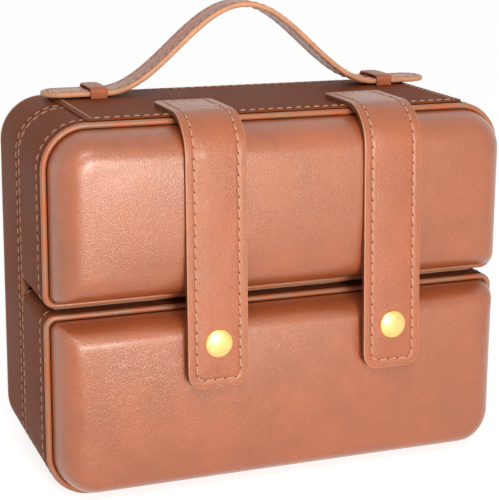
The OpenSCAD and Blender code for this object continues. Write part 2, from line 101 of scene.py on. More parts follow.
class CaseShape(bpy.types.PropertyGroup):
    corner: FloatProperty(name="Corner", description="Radius of the large corners, mm", default=24.0)
    groove: FloatProperty(name="Groove corner", description="Corner radius at the groove, mm", default=7.0)
    piping: FloatProperty(name="Piping", description="Diameter of the piping, mm", default=3.2)
    border: FloatProperty(name="Pad border", description="Rounded border of a pad, mm", default=15.0)
    crown: FloatProperty(name="Pad crown", description="Rise of a pad inside its border, mm", default=1.3)


def colour(name, description, default):
    return FloatVectorProperty(name=name, description=description, subtype="COLOR", default=default)


class ThreadShape(bpy.types.PropertyGroup):
    pitch: FloatProperty(name="Pitch", description="Distance from stitch to stitch, mm", default=5.2)
    length: FloatProperty(name="Length", description="Length of a stitch, mm", default=4.3)
    thick: FloatProperty(name="Thickness", description="Thickness of the thread, mm", default=0.75)
    slant: FloatProperty(name="Slant", description="Turn of a stitch off its row, degrees", default=7.0)
    colour: colour("Thread", "Colour of the thread", (0.85, 0.50, 0.33))


class Colours(bpy.types.PropertyGroup):
    leather: colour("Leather", "Colour of the leather", (0.56, 0.150, 0.052))
    # deep is the grain's own colour; darkened, it is also the painted shade on the straps' sides and in the
    # needle holes
    deep: colour("Leather, deep", "Colour in the leather's grain", (0.27, 0.060, 0.021))
    edge: colour("Edge paint", "Colour of painted leather edges", (0.82, 0.40, 0.22))
    brass: colour("Brass", "Colour of the snaps and hooks", (1.0, 0.68, 0.25))
    suede: colour("Suede", "Colour of the lining", (0.56, 0.42, 0.29))


class JewelleryCase(bpy.types.PropertyGroup):
    shape: PointerProperty(type=CaseShape)
    thread: PointerProperty(type=ThreadShape)
    colours: PointerProperty(type=Colours)


# ---------------------------------------------------------------- mesh helpers

def new_mesh(name, points, faces, face_material=None):
    """A mesh object from points in millimetres"""
    mesh = bpy.data.meshes.new(name)
    mesh.from_pydata([tuple(float(c) / 1000 for c in p) for p in points], [], faces)
    if face_material is not None:
        mesh.polygons.foreach_set("material_index", face_material)
    mesh.polygons.foreach_set("use_smooth", [True] * len(mesh.polygons))
    mesh.validate()
    mesh.update()
    obj = bpy.data.objects.new(name, mesh)
    bpy.context.scene.collection.objects.link(obj)
    return obj


def outward(obj):
    """Turns every face of a closed mesh outwards"""
    bm = bmesh.new()
    bm.from_mesh(obj.data)
    bmesh.ops.recalc_face_normals(bm, faces=bm.faces)
    bm.to_mesh(obj.data)
    bm.free()
    return obj


def give(obj, *materials):
    for m in materials:
        obj.data.materials.append(m)
    return obj


def band_faces(rings, count, closed_rings=False, keep=None):
    """Quads between successive closed rings of count points each"""
    faces = []
    spans = rings if closed_rings else rings - 1
    for r in range(spans):
        a = r * count
        b = ((r + 1) % rings) * count
        for i in range(count):
            j = (i + 1) % count
            if keep is None or keep(r, i):
                faces.append((a + i, a + j, b + j, b + i))
    return faces


def caps(rings, count):
    """Faces that close both ends of a stack of rings of count points each"""
    return [tuple(reversed(range(count))), tuple((rings - 1) * count + k for k in range(count))]


def fill(loop, longs, shorts, arc):
    """Grid of quads inside a loop of long, short, long and short runs joined by arcs.

    Returns the new inner points and the faces, which count the loop's own points first.
    """
    half, count = arc // 2, len(loop)
    wide, tall = longs + arc, shorts + arc
    order = [(k - half) % count for k in range(count)]
    bottom = order[:wide + 1]
    right = order[wide:wide + tall + 1]
    top = order[wide + tall:2 * wide + tall + 1][::-1]
    left = [order[0]] + order[:2 * wide + tall - 1:-1]
    p = np.asarray(loop, float)
    b, t, l, r = p[bottom], p[top], p[left], p[right]
    u = (b[:, 0] - b[0, 0]) / (b[-1, 0] - b[0, 0])
    v = (l[:, 1] - l[0, 1]) / (l[-1, 1] - l[0, 1])
    index = np.zeros((tall + 1, wide + 1), int)
    index[0], index[-1], index[:, 0], index[:, -1] = bottom, top, left, right
    inner = []
    for j in range(1, tall):
        for i in range(1, wide):
            a, c = u[i], v[j]
            flat = (1 - c) * b[i] + c * t[i] + (1 - a) * l[j] + a * r[j]
            flat -= ((1 - a) * (1 - c) * b[0] + a * (1 - c) * b[-1]
                     + (1 - a) * c * t[0] + a * c * t[-1])
            index[j, i] = count + len(inner)
            inner.append(flat)
    faces = [(index[j, i], index[j, i + 1], index[j + 1, i + 1], index[j + 1, i])
             for j in range(tall) for i in range(wide)]
    return np.array(inner), [tuple(int(k) for k in f) for f in faces]


def rounded(x0, x1, y0, y1, radii, longs, shorts, arcs, stops=()):
    """Rounded rectangle, anticlockwise from the end of its lower left corner.

    The radii stand for lower left, lower right, upper right and upper left. A stop is an x that
    one of the points on the upper run has to meet.
    """
    points = []

    def run(a, b, count, marks=()):
        steps = list(np.linspace(0, 1, count + 1)[:-1])
        span = b[0] - a[0]
        for mark in marks:
            near = min(range(1, len(steps)), key=lambda k: abs(a[0] + span * steps[k] - mark))
            steps[near] = (mark - a[0]) / span
        points.extend((a[0] + (b[0] - a[0]) * s, a[1] + (b[1] - a[1]) * s) for s in sorted(steps))

    def arc(cx, cy, r, start):
        for k in range(arcs):
            turn = math.radians(start + 90 * k / arcs)
            points.append((cx + r * math.cos(turn), cy + r * math.sin(turn)))

    a, b, c, d = radii
    run((x0 + a, y0), (x1 - b, y0), longs)
    arc(x1 - b, y0 + b, b, 270)
    run((x1, y0 + b), (x1, y1 - c), shorts)
    arc(x1 - c, y1 - c, c, 0)
    run((x1 - c, y1), (x0 + d, y1), longs, stops)
    arc(x0 + d, y1 - d, d, 90)
    run((x0, y1 - d), (x0, y0 + a), shorts)
    arc(x0 + a, y0 + a, a, 180)
    return np.array(points)


ARC = 14
LONG = 96
SHORT = 36


def ring(z_low, z_high, r_low, r_high, inset, half=None, stops=(), least=1.2):
    """Front-view outline, inset: (x, z) for each point"""
    half = (Case.half if half is None else half) - inset
    rl, rh = max(r_low - inset, least), max(r_high - inset, least)
    return rounded(-half, half, z_low + inset, z_high - inset, (rl, rl, rh, rh), LONG, SHORT, ARC, stops)


RING_COUNT = 2 * LONG + 2 * SHORT + 4 * ARC


def stack(outline, profile):
    """Points of an outline swept through (y, inset) steps"""
    points = []
    for y, inset in profile:
        points.extend((x, y, z) for x, z in outline(inset))
    return points


def lower_outline(inset, stops=(), least=1.2):
    s = settings().shape
    return ring(0, Case.lower_top, s.corner, s.groove, inset, stops=stops, least=least)


def lid_outline(inset, least=1.2):
    s = settings().shape
    return ring(Case.upper_low, Case.height, s.groove, s.corner, inset, least=least)


def rear_outline(inset):
    s = settings().shape
    return ring(0, Case.height, s.corner, s.corner, inset)


# ---------------------------------------------------------------- stitches

def along(points, normals, closed):
    """Arc length along a path, with the path's points and normals closed up if asked"""
    p, n = np.array(points, float), np.array(normals, float)
    if closed:
        p, n = np.vstack([p, p[:1]]), np.vstack([n, n[:1]])
    s = np.concatenate([[0], np.cumsum(np.linalg.norm(np.diff(p, axis=0), axis=1))])
    return p, n, s


def at(p, n, s, where):
    point = np.array([np.interp(where, s, p[:, k]) for k in range(3)])
    normal = np.array([np.interp(where, s, n[:, k]) for k in range(3)])
    return point, normal / np.linalg.norm(normal)


# A stitch's rings: share of its length, share of its thickness, lift in thicknesses
STITCH_RINGS = ((0.0, 0.45, -0.55), (0.12, 0.85, -0.05), (0.35, 1.0, 0.30), (0.65, 1.0, 0.30),
                (0.88, 0.85, -0.05), (1.0, 0.45, -0.55))
STITCH_SIDES = 7
STITCH_LOOK = 0.5
THREAD_SINK = 0.2
# A needle hole's shape, a dark lens of painted shade: its length and width are in thread radii, its heights
# in millimetres
HOLE_SIDES = 8
HOLE_LONG = 1.25
HOLE_WIDE = 1.05
HOLE_RIM = 0.02
HOLE_RISE = 0.16
HOLE_DEEP = 0.3


def stitch_row(name, paths, closed=False, pitch=None, skip=None, thick=None):
    """One mesh of short arched threads along one or more (points, normals) paths"""
    t = settings().thread
    pitch = pitch or t.pitch
    length = t.length * pitch / t.pitch
    radius = (thick or t.thick) / 2
    turn = math.radians(t.slant)
    tube = band_faces(len(STITCH_RINGS), STITCH_SIDES) + caps(len(STITCH_RINGS), STITCH_SIDES)
    points, faces, paint = [], [], []
    for path, normals in paths:
        p, n, s = along(path, normals, closed)
        count = max(1, round(s[-1] / pitch)) if closed else max(1, int(s[-1] // pitch))
        step = s[-1] / count if closed else pitch
        start = 0 if closed else (s[-1] - count * pitch) / 2
        for k in range(count):
            s0 = start + k * step + (step - length) / 2
            middle, up = at(p, n, s, s0 + length / 2)
            if skip and skip(middle):
                continue
            ahead, _ = at(p, n, s, min(s0 + length / 2 + STITCH_LOOK, s[-1]))
            behind, _ = at(p, n, s, max(s0 + length / 2 - STITCH_LOOK, 0))
            forward = ahead - behind
            forward /= np.linalg.norm(forward)
            side = np.cross(up, forward)
            base = len(points)
            for share, fat, lift in STITCH_RINGS:
                where = s0 + length * share
                on, above = at(p, n, s, min(max(where, 0), s[-1]))
                drift = math.tan(turn) * length * (share - 0.5)
                centre = on + above * (radius * 2 * lift) + side * drift
                for j in range(STITCH_SIDES):
                    a = 2 * math.pi * j / STITCH_SIDES
                    points.append(centre + radius * fat * (side * math.cos(a) + above * math.sin(a)))
            faces += [tuple(base + k for k in face) for face in tube]
            paint += [0] * (len(faces) - len(paint))
            # A dark lens of painted shade in the needle hole after each stitch
            hole, above = at(p, n, s, min(s0 + (length + step) / 2, s[-1]))
            needle_hole_shade(points, faces, hole, above, forward, radius)
            paint += [1] * (len(faces) - len(paint))
    obj = new_mesh(name, points, faces, paint)
    return give(obj, thread_material(), hole_shade_material())


def needle_hole_shade(points, faces, centre, up, forward, radius):
    """Low dark button of painted shade where the thread goes down, a closed flat lens"""
    side = np.cross(up, forward)
    base = len(points)
    for k in range(HOLE_SIDES):
        a = 2 * math.pi * k / HOLE_SIDES
        points.append(centre + up * HOLE_RIM + forward * math.cos(a) * radius * HOLE_LONG
                      + side * math.sin(a) * radius * HOLE_WIDE)
    points += [centre + up * HOLE_RISE, centre - up * HOLE_DEEP]
    top, low = base + HOLE_SIDES, base + HOLE_SIDES + 1
    for k in range(HOLE_SIDES):
        k2 = (k + 1) % HOLE_SIDES
        faces.append((base + k, base + k2, top))
        faces.append((base + k2, base + k, low))


def outline_path(outline, y, sink=0.0):
    """Path with outward normals along an outline at depth y"""
    xz = outline(0)
    ahead, behind = np.roll(xz, -1, axis=0), np.roll(xz, 1, axis=0)
    d = ahead - behind
    n = np.stack([d[:, 1], -d[:, 0]], axis=1)
    n /= np.linalg.norm(n, axis=1)[:, None]
    points = [(x - nx * sink, y, z - nz * sink) for (x, z), (nx, nz) in zip(xz, n)]
    return points, [(nx, 0, nz) for nx, nz in n]


# ---------------------------------------------------------------- flat leather pieces

PANEL_ARC = 6
PANEL_LEAST = 0.4
PANEL_RISE = 12
PANEL_CALM = 4
STRAP_SEAM = 4.5
# Distance from the seam and share of the channel's depth; share of the bevel inwards and downwards
PANEL_CHANNEL = ((1.7, 0.0), (1.1, 0.12), (0.6, 0.55), (0.0, 1.0), (-0.6, 0.55), (-1.1, 0.12), (-1.8, 0.0))
PANEL_EDGE = ((1.7, 0.0), (1.0, 0.06), (0.5, 0.25), (0.16, 0.6), (0.0, 1.0))


class Panel:
    """A flat piece of leather with round corners: a grid inside rings that turn over its edge"""

    def __init__(self, length, width, r0, r1, thick, place, runs=60, across=6):
        self.length, self.width, self.r0, self.r1 = length, width, r0, r1
        self.thick, self.place = thick, place
        self.runs, self.across = runs, across

    def outline(self, inset):
        """(s, t) points of the flat outline, inset, starting at the first end's left corner"""
        ra, rb = max(self.r0 - inset, PANEL_LEAST), max(self.r1 - inset, PANEL_LEAST)
        half = self.width / 2 - inset
        return rounded(inset, self.length - inset, -half, half, (ra, rb, rb, ra),
                       self.runs, self.across, PANEL_ARC)

    @property
    def count(self):
        return 2 * self.runs + 2 * self.across + 4 * PANEL_ARC

    def build(self, name, seam=STRAP_SEAM, crown=0.25, channel=0.35, bevel=0.9, under_seam=True, ripple=0.0):
        """The piece with a stitch channel and painted edges: material 1 on bevels, 2 between"""
        h = self.thick / 2
        b = min(bevel, h)
        top = [(seam + side, h - channel * deep) for side, deep in PANEL_CHANNEL] if seam else []
        top += [(b * inside, h - b * down) for inside, down in PANEL_EDGE]
        under = [(i, -z) for i, z in reversed(top)]
        if not under_seam:
            under = [(i, -h if i > b * 1.5 else -z) for i, z in reversed(top)]
        profile = top + under
        n = self.count
        flats = [self.outline(inset) for inset, _ in profile]
        inner, cells = fill(flats[0], self.runs, self.across, PANEL_ARC)

        def lift(s, t):
            near = min(s, self.length - s, PANEL_RISE)
            rise = crown * max(1 - (2 * t / self.width) ** 2, 0) * near / PANEL_RISE
            wave = noise.noise(Vector((s * 0.05, t * 0.08, self.length))) * ripple
            return rise + wave

        points, faces, paint = [], [], []
        for flat, (inset, height) in zip(flats, profile):
            points.extend(self.place(s, t, height) for s, t in flat)
        for r in range(len(profile) - 1):
            edge = max(profile[r][0], profile[r + 1][0]) <= b
            middle = profile[r][0] == 0 and profile[r + 1][0] == 0
            for i in range(n):
                j = (i + 1) % n
                faces.append((r * n + i, (r + 1) * n + i, (r + 1) * n + j, r * n + j))
                paint.append(2 if middle else 1 if edge else 0)
        for side, first in ((1, 0), (-1, (len(profile) - 1) * n)):
            base = len(points)
            points.extend(self.place(s, t, side * h + lift(s, t) * self.calm(s, t, profile[0][0]))
                          for s, t in inner)
            for face in cells:
                face = tuple(first + k if k < n else base + k - n for k in face)
                faces.append(face if side > 0 else face[::-1])
                paint.append(0)
        return outward(new_mesh(name, points, faces, paint))

    def calm(self, s, t, start):
        """0 at the innermost ring and 1 a few millimetres inside it"""
        gap = min(s - start, self.length - start - s, self.width / 2 - start - abs(t))
        return min(max(gap / PANEL_CALM, 0), 1)

    def path(self, inset, face=1, lift=0.0):
        """Stitch path on one face, with normals"""
        return self.lay(self.outline(inset), face, lift)

    def lay(self, flat, face=1, lift=0.0):
        """Any (s, t) path laid on one face, with normals"""
        height = face * (self.thick / 2 + lift)
        points = [np.array(self.place(s, t, height)) for s, t in flat]
        far = [np.array(self.place(s, t, height + face)) for s, t in flat]
        normals = [f - p for f, p in zip(far, points)]
        return points, [n / np.linalg.norm(n) for n in normals]


# ---------------------------------------------------------------- materials

MATERIALS = {}


def material(name, build):
    """The named material, built once"""
    if name not in MATERIALS:
        m = bpy.data.materials.new(name)
        m.use_nodes = True
        tree = m.node_tree
        tree.nodes.clear()
        out = tree.nodes.new("ShaderNodeOutputMaterial")
        shader = tree.nodes.new("ShaderNodeBsdfPrincipled")
        tree.links.new(shader.outputs[0], out.inputs["Surface"])
        build(tree, shader, settings().colours)
        MATERIALS[name] = m
    return MATERIALS[name]


def named(name):
    """Turns a function that sets up a shader into one that returns the named material"""
    return lambda build: lambda: material(name, build)


def node(tree, kind, inputs=None, **values):
    """A node with its settings and its inputs, each a value or another node's output"""
    made = tree.nodes.new(kind)
    for key, value in values.items():
        setattr(made, key, value)
    plug(tree, made, inputs or {})
    return made


def plug(tree, made, inputs):
    for key, value in inputs.items():
        socket = made.inputs[key]
        if isinstance(value, bpy.types.NodeSocket):
            tree.links.new(value, socket)
        else:
            socket.default_value = value


def rgba(colour, gain=1.0):
    return (colour[0] * gain, colour[1] * gain, colour[2] * gain, 1.0)


def place_of(tree):
    return node(tree, "ShaderNodeTexCoord").outputs["Object"]


def cloudy(tree, scale, detail, rough=0.5, where=None, output=0):
    """Noise in the object's own coordinates, or at another place"""
    where = place_of(tree) if where is None else where
    inputs = {"Vector": where, "Scale": scale, "Detail": detail, "Roughness": rough}
    return node(tree, "ShaderNodeTexNoise", inputs).outputs[output]


def mix_colour(tree, factor, a, b):
    return node(tree, "ShaderNodeMix", {0: factor, 6: a, 7: b}, data_type="RGBA").outputs[2]


def ramp(tree, value, low, high, a=0.0, b=1.0):
    return node(tree, "ShaderNodeMapRange", {0: value, 1: low, 2: high, 3: a, 4: b}).outputs[0]


def maths(tree, operation, a, b=0.0):
    return node(tree, "ShaderNodeMath", {0: a, 1: b}, operation=operation).outputs[0]


def shade(tree, shader, tone, rough, bump=None, **more):
    """Sets a shader's colour and roughness, its bump as (strength, distance, height), and more"""
    plug(tree, shader, {"Base Color": tone, "Roughness": rough})
    if bump:
        inputs = dict(zip(("Strength", "Distance", "Height"), bump))
        plug(tree, shader, {"Normal": node(tree, "ShaderNodeBump", inputs).outputs[0]})
    plug(tree, shader, {key.replace("_", " "): value for key, value in more.items()})


def leather_build(gain, rough, grain, level=0.9, coat=0.0):
    """Finished cowhide: pebbles and creases of its grain, cloudy colour, darker in the creases"""
    def build(tree, shader, c):
        where = place_of(tree)
        bend = cloudy(tree, 240.0, 2.0, where=where, output=1)
        bent = node(tree, "ShaderNodeVectorMath", {0: bend, 1: (0.0016, 0.0016, 0.0016), 2: where},
                    operation="MULTIPLY_ADD").outputs[0]
        cells = node(tree, "ShaderNodeTexVoronoi", {"Vector": bent, "Scale": 980.0, "Randomness": 1.0},
                     feature="DISTANCE_TO_EDGE").outputs["Distance"]
        cloud = cloudy(tree, 36.0, 2.0, 0.6)
        crease = cloudy(tree, 420.0, 2.0, 0.6, where=bent)
        pebble = ramp(tree, cells, 0.0, 0.32)
        fine = ramp(tree, cloudy(tree, 1900.0, 1.0), 0.25, 0.75)
        tone = mix_colour(tree, ramp(tree, cloud, 0.35, 0.68), rgba(c.leather, gain * 0.90),
                          rgba(c.leather, gain * 1.10))
        low = maths(tree, "MULTIPLY", maths(tree, "SUBTRACT", 1.0, pebble), 0.45)
        tone = mix_colour(tree, low, tone, rgba(c.deep, gain))
        height = maths(tree, "ADD", maths(tree, "MULTIPLY", pebble, 0.5),
                       maths(tree, "MULTIPLY", fine, 0.22))
        height = maths(tree, "ADD", height, maths(tree, "MULTIPLY", crease, 0.5))
        shine = maths(tree, "ADD", ramp(tree, cloud, 0.3, 0.7, rough - 0.04, rough + 0.05),
                      maths(tree, "MULTIPLY", low, 0.15))
        shade(tree, shader, tone, shine, (grain, 0.0004, height), Specular_IOR_Level=level,
              Coat_Weight=coat, Coat_Roughness=0.26, Specular_Tint=(1.0, 0.88, 0.78, 1))
    return build


def leather_material():
    return material("case_leather", leather_build(0.95, 0.30, 0.30, level=1.0, coat=0.5))


def shaded_gusset_material():
    """The same hide with a duller finish, its colour scaled to 0.58 against 0.95 on the front as painted
    shade, for the sides, the top, the back and the bottom
    """
    return material("gusset_leather", leather_build(0.58, 0.5, 0.38, level=0.05))


def strap_material():
    return material("strap_leather", leather_build(1.0, 0.34, 0.40, level=0.9, coat=0.3))


def keeper_material():
    """Thin hide drawn tight over a fold: glossier and more creased"""
    return material("keeper_leather", leather_build(1.1, 0.30, 0.75, level=0.6))


@named("piping_leather")
def piping_material(tree, shader, c):
    worn = ramp(tree, cloudy(tree, 90.0, 4.0), 0.35, 0.65)
    tone = mix_colour(tree, worn, rgba(c.leather, 1.0), rgba(c.edge, 0.52))
    shade(tree, shader, tone, 0.36, (0.3, 0.0002, cloudy(tree, 1500.0, 3.0)), Coat_Weight=0.3,
          Coat_Roughness=0.3)


@named("edge_paint")
def edge_material(tree, shader, c):
    """Painted edge of cut leather: lighter, slightly uneven, half gloss"""
    patch = cloudy(tree, 160.0, 4.0)
    tone = mix_colour(tree, ramp(tree, patch, 0.35, 0.7), rgba(c.edge, 0.86), rgba(c.edge, 1.08))
    shade(tree, shader, tone, 0.42, (0.25, 0.0002, patch))


@named("shaded_strap_side")
def shaded_strap_side_material(tree, shader, c):
    """Side of a strap, darkened with painted shade"""
    fibre = cloudy(tree, 900.0, 5.0)
    tone = mix_colour(tree, ramp(tree, fibre, 0.3, 0.7), rgba(c.deep, 0.42), rgba(c.deep, 0.8))
    shade(tree, shader, tone, 0.5, (0.3, 0.0002, fibre))


@named("waxed_thread")
def thread_material(tree, shader, c):
    """Twisted waxed thread"""
    inputs = {"Vector": place_of(tree), "Scale": 1900.0, "Distortion": 2.0}
    twist = node(tree, "ShaderNodeTexWave", inputs, bands_direction="DIAGONAL").outputs[1]
    colour = settings().thread.colour
    tone = mix_colour(tree, twist, rgba(colour, 0.82), rgba(colour, 1.1))
    shade(tree, shader, tone, 0.55, (0.4, 0.00015, twist), Sheen_Weight=0.2)


@named("needle_hole_shade")
def hole_shade_material(tree, shader, c):
    """Painted shade for the inside of a needle hole"""
    tone = mix_colour(tree, cloudy(tree, 2500.0, 2.0), rgba(c.deep, 0.25), rgba(c.deep, 0.55))
    shade(tree, shader, tone, 0.8)


@named("polished_brass")
def brass_material(tree, shader, c):
    """Polished brass with faint brushing and rubbed spots"""
    rub = cloudy(tree, 420.0, 5.0)
    tone = mix_colour(tree, ramp(tree, rub, 0.35, 0.7), rgba(c.brass, 0.92), rgba(c.brass, 1.05))
    shade(tree, shader, tone, ramp(tree, rub, 0.3, 0.75, 0.28, 0.42), Metallic=1.0)


@named("seam_tape")
def tape_material(tree, shader, c):
    """Fine ribbed tape in the seam"""
    tone = mix_colour(tree, cloudy(tree, 1200.0, 2.0), rgba(c.leather, 0.7), rgba(c.edge, 0.7))
    shade(tree, shader, tone, 0.8, Sheen_Weight=0.3)


@named("suede_lining")
def suede_material(tree, shader, c):
    """Napped suede: mottled colour and a soft fibrous surface"""
    nap = cloudy(tree, 1700.0, 4.0, 0.7)
    tone = mix_colour(tree, cloudy(tree, 60.0, 3.0), rgba(c.suede, 0.86), rgba(c.suede, 1.1))
    tone = mix_colour(tree, maths(tree, "MULTIPLY", nap, 0.4), tone, rgba(c.suede, 0.7))
    shade(tree, shader, tone, 0.95, (0.5, 0.0003, nap), Sheen_Weight=0.6)


@named("ring_velvet")
def velvet_material(tree, shader, c):
    """Short dense pile: painted shade where it parts and painted sheen in brushed patches, where it catches
    the light
    """
    pile_and_shade = cloudy(tree, 2600.0, 3.0)
    brushed_sheen = ramp(tree, cloudy(tree, 110.0, 4.0, 0.65), 0.35, 0.65)
    tone = mix_colour(tree, brushed_sheen, rgba(c.suede, 0.72), rgba(c.suede, 1.0))
    tone = mix_colour(tree, maths(tree, "MULTIPLY", pile_and_shade, 0.5), tone, rgba(c.suede, 0.5))
    shade(tree, shader, tone, 1.0, (0.6, 0.0003, pile_and_shade), Sheen_Weight=0.8, Sheen_Roughness=0.35)


@named("grey_board")
def board_material(tree, shader, c):
    """Grey board with short flecks"""
    fleck = cloudy(tree, 700.0, 6.0)
    shade(tree, shader, mix_colour(tree, fleck, (0.20, 0.14, 0.09, 1), (0.34, 0.26, 0.18, 1)), 0.9)


@named("silvered_glass")
def mirror_material(tree, shader, c):
    haze = ramp(tree, cloudy(tree, 30.0, 3.0), 0.3, 0.8, 0.02, 0.05)
    shade(tree, shader, (0.86, 0.88, 0.88, 1), haze, Metallic=1.0)


def background_rays(tree):
    """1 for the rays that see the surroundings: from the camera, off gloss and through glass"""
    path = node(tree, "ShaderNodeLightPath")
    seen = maths(tree, "MAXIMUM", path.outputs["Is Camera Ray"], path.outputs["Is Glossy Ray"])
    return maths(tree, "MAXIMUM", seen, path.outputs["Is Transmission Ray"])


@named("floor_paper")
def floor_material(tree, shader, c):
    """Pale paper, white to the camera"""
    glow = maths(tree, "MULTIPLY", background_rays(tree), FLOOR_GLOW)
    shade(tree, shader, (0.66, 0.65, 0.64, 1), 0.9, Emission_Color=(1, 1, 1, 1), Emission_Strength=glow)


def repaint(name, made):
    """Gives a CAD node that stays in view its finish"""
    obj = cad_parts[name]
    obj.data.materials.clear()
    obj.data.materials.append(made)
    obj.data.polygons.foreach_set("use_smooth", [True] * len(obj.data.polygons))
    obj.data.set_sharp_from_angle(angle=math.radians(35))


# ---------------------------------------------------------------- pieces

FRONT_SEAM = 10.2
BACK_SEAM = 2.2
TOP_SEAM = 3.4
GUSSET_SINK = 0.3
FLAT_STEP = 4
# Steps of a stitch channel and of the sections' edges: distance along the depth, inset
CHANNEL = ((-3.0, 0.0), (-1.3, 0.02), (-0.7, 0.16), (0.0, 0.34), (0.7, 0.16), (1.3, 0.02), (3.0, 0.0))
FRONT_EDGE = ((0.0, 1.0), (0.35, 0.5), (0.9, 0.15), (1.5, 0.0))
SEWN_EDGE = ((0.0, 0.95), (0.12, 0.55), (0.4, 0.28), (0.85, 0.14), (1.3, 0.18), (BACK_SEAM, 0.36),
             (2.8, 0.18), (3.4, 0.04), (4.4, 0.0))
BACK_EDGE = ((0.0, 0.9), (0.15, 0.5), (0.5, 0.2), (1.2, 0.0))


def gusset_profile(front, back, seams, front_edge, back_edge):
    """(y, inset) steps over a gusset's face, with a channel at each seam, and back inside it"""
    steps = [(front + y, d) for y, d in front_edge] + [(back - y, d) for y, d in back_edge]
    for seam in seams:
        steps += [(seam + y, d) for y, d in CHANNEL]
    steps = sorted(set(steps))
    return steps + [(back - 0.1, Case.leather), (front + 0.1, Case.leather)]


def build_gusset(name, outline, profile, mouth_low=None, mouth_high=None, body="case"):
    """Wrapped leather skin; a mouth drops the part of its top or bottom that is open"""
    if mouth_low or mouth_high:
        profile = insert_step(profile, Case.mouth_y)
    rings = [outline(inset) for _, inset in profile]
    points = [(x, y, z) for (y, _), r in zip(profile, rings) for x, z in r]
    flat = rings[FLAT_STEP]
    levels = np.array([z for _, z in flat])

    def keep(r, i):
        y = (profile[r][0] + profile[(r + 1) % len(profile)][0]) / 2
        x = (flat[i][0] + flat[(i + 1) % RING_COUNT][0]) / 2
        z = (levels[i] + levels[(i + 1) % RING_COUNT]) / 2
        if y < Case.mouth_y or abs(x) > Case.mouth:
            return True
        if mouth_high and z > levels.max() - 0.5:
            return False
        if mouth_low and z < levels.min() + 0.5:
            return False
        return True

    faces = band_faces(len(profile), RING_COUNT, closed_rings=True, keep=keep)
    obj = new_mesh(name, points, faces)
    give(obj, shaded_gusset_material())
    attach(obj, body)
    return obj


def insert_step(profile, y):
    """Adds a step at depth y to the outer and inner runs of a profile"""
    done = []
    for k, step in enumerate(profile):
        done.append(step)
        after = profile[(k + 1) % len(profile)]
        if min(step[0], after[0]) < y < max(step[0], after[0]):
            share = (y - step[0]) / (after[0] - step[0])
            done.append((y, step[1] + (after[1] - step[1]) * share))
    return done


class CaseOperator(bpy.types.Operator):
    """Shared base of the case's operators"""
    bl_options = {"REGISTER", "UNDO"}


# The camera's turns in degrees, its aim and its distance in metres, its focal length in frame widths
CAMERA_TURN = -20.7
CAMERA_RISE = 12.2
CAMERA_ROLL = 0.41
CAMERA_AIM = (-0.018, Case.front / 1000, 0.157)
CAMERA_AWAY = 0.762
CAMERA_FOCAL = 1459 / 500
CAMERA_SHIFT = -0.12
SENSOR = 36.0
FLOOR_HALF = 4000.0
FLOOR_GLOW = 0.8
WORLD_LIGHT = 0.18
WORLD_SEEN = 1.0
# Each lamp's name, place, aim, size, power and colour
LAMPS = (
    ("key", (0.00, -1.30, 0.22), (0.0, 0.0, 0.13), (0.34, 0.26), 9.0, (1.0, 0.95, 0.89)),
    ("over", (-0.30, -0.95, 1.00), (0.0, 0.0, 0.13), (0.6, 0.2), 4.6, (1.0, 0.95, 0.89)),
    ("left", (-1.30, -0.45, 0.50), (0.0, 0.0, 0.12), (0.5, 0.5), 0.8, (1.0, 0.95, 0.9)),
    ("edge", (-1.15, 0.55, 0.32), (0.0, 0.0, 0.12), (0.14, 0.5), 0.4, (1.0, 0.95, 0.9)),
)


class CASE_OT_stage(CaseOperator):
    """Adds the floor, the world's light, the lamps and the camera"""
    bl_idname = "jewel_case.stage"
    bl_label = "Stage"

    def execute(self, context):
        scene = context.scene
        scene.view_settings.view_transform = "Standard"
        self.camera(scene)
        self.floor()
        self.world(scene)
        self.lamps(scene)
        return {"FINISHED"}

    def camera(self, scene):
        """Three-quarter view from the left, a little above the case"""
        turn, rise, roll = (math.radians(a) for a in (CAMERA_TURN, CAMERA_RISE, CAMERA_ROLL))
        back = Vector((math.sin(turn) * math.cos(rise), -math.cos(turn) * math.cos(rise), math.sin(rise)))
        right = Vector((0, 0, 1)).cross(back).normalized()
        up = back.cross(right)
        right, up = (right * math.cos(roll) + up * math.sin(roll),
                     up * math.cos(roll) - right * math.sin(roll))
        data = bpy.data.cameras.new("camera")
        data.sensor_width = SENSOR
        data.lens = CAMERA_FOCAL * SENSOR
        data.shift_y = CAMERA_SHIFT
        data.clip_start, data.clip_end = 0.01, 20.0
        data.dof.use_dof = False
        obj = bpy.data.objects.new("camera", data)
        turned = Matrix((right, up, back)).transposed().to_4x4()
        obj.matrix_world = Matrix.Translation(Vector(CAMERA_AIM) + back * CAMERA_AWAY) @ turned
        scene.collection.objects.link(obj)
        scene.camera = obj

    def floor(self):
        wide = FLOOR_HALF
        points = [(-wide, -wide, 0), (wide, -wide, 0), (wide, wide, 0), (-wide, wide, 0)]
        obj = new_mesh("floor", points, [(0, 1, 2, 3)])
        give(obj, floor_material())

    def world(self, scene):
        """Even dim light, white to the camera"""
        world = bpy.data.worlds.new("studio")
        world.use_nodes = True
        tree = world.node_tree
        tree.nodes.clear()
        out = tree.nodes.new("ShaderNodeOutputWorld")
        strength = ramp(tree, background_rays(tree), 0, 1, WORLD_LIGHT, WORLD_SEEN)
        inputs = {"Color": (1, 1, 1, 1), "Strength": strength}
        tree.links.new(node(tree, "ShaderNodeBackground", inputs).outputs[0], out.inputs[0])
        scene.world = world

    def lamps(self, scene):
        for name, place, aim, size, power, colour in LAMPS:
            data = bpy.data.lights.new(name, "AREA")
            data.shape = "RECTANGLE"
            data.size, data.size_y = size
            data.energy = power
            data.color = colour
            obj = bpy.data.objects.new(name, data)
            obj.location = place
            obj.rotation_euler = (Vector(aim) - Vector(place)).to_track_quat("-Z", "Y").to_euler()
            scene.collection.objects.link(obj)


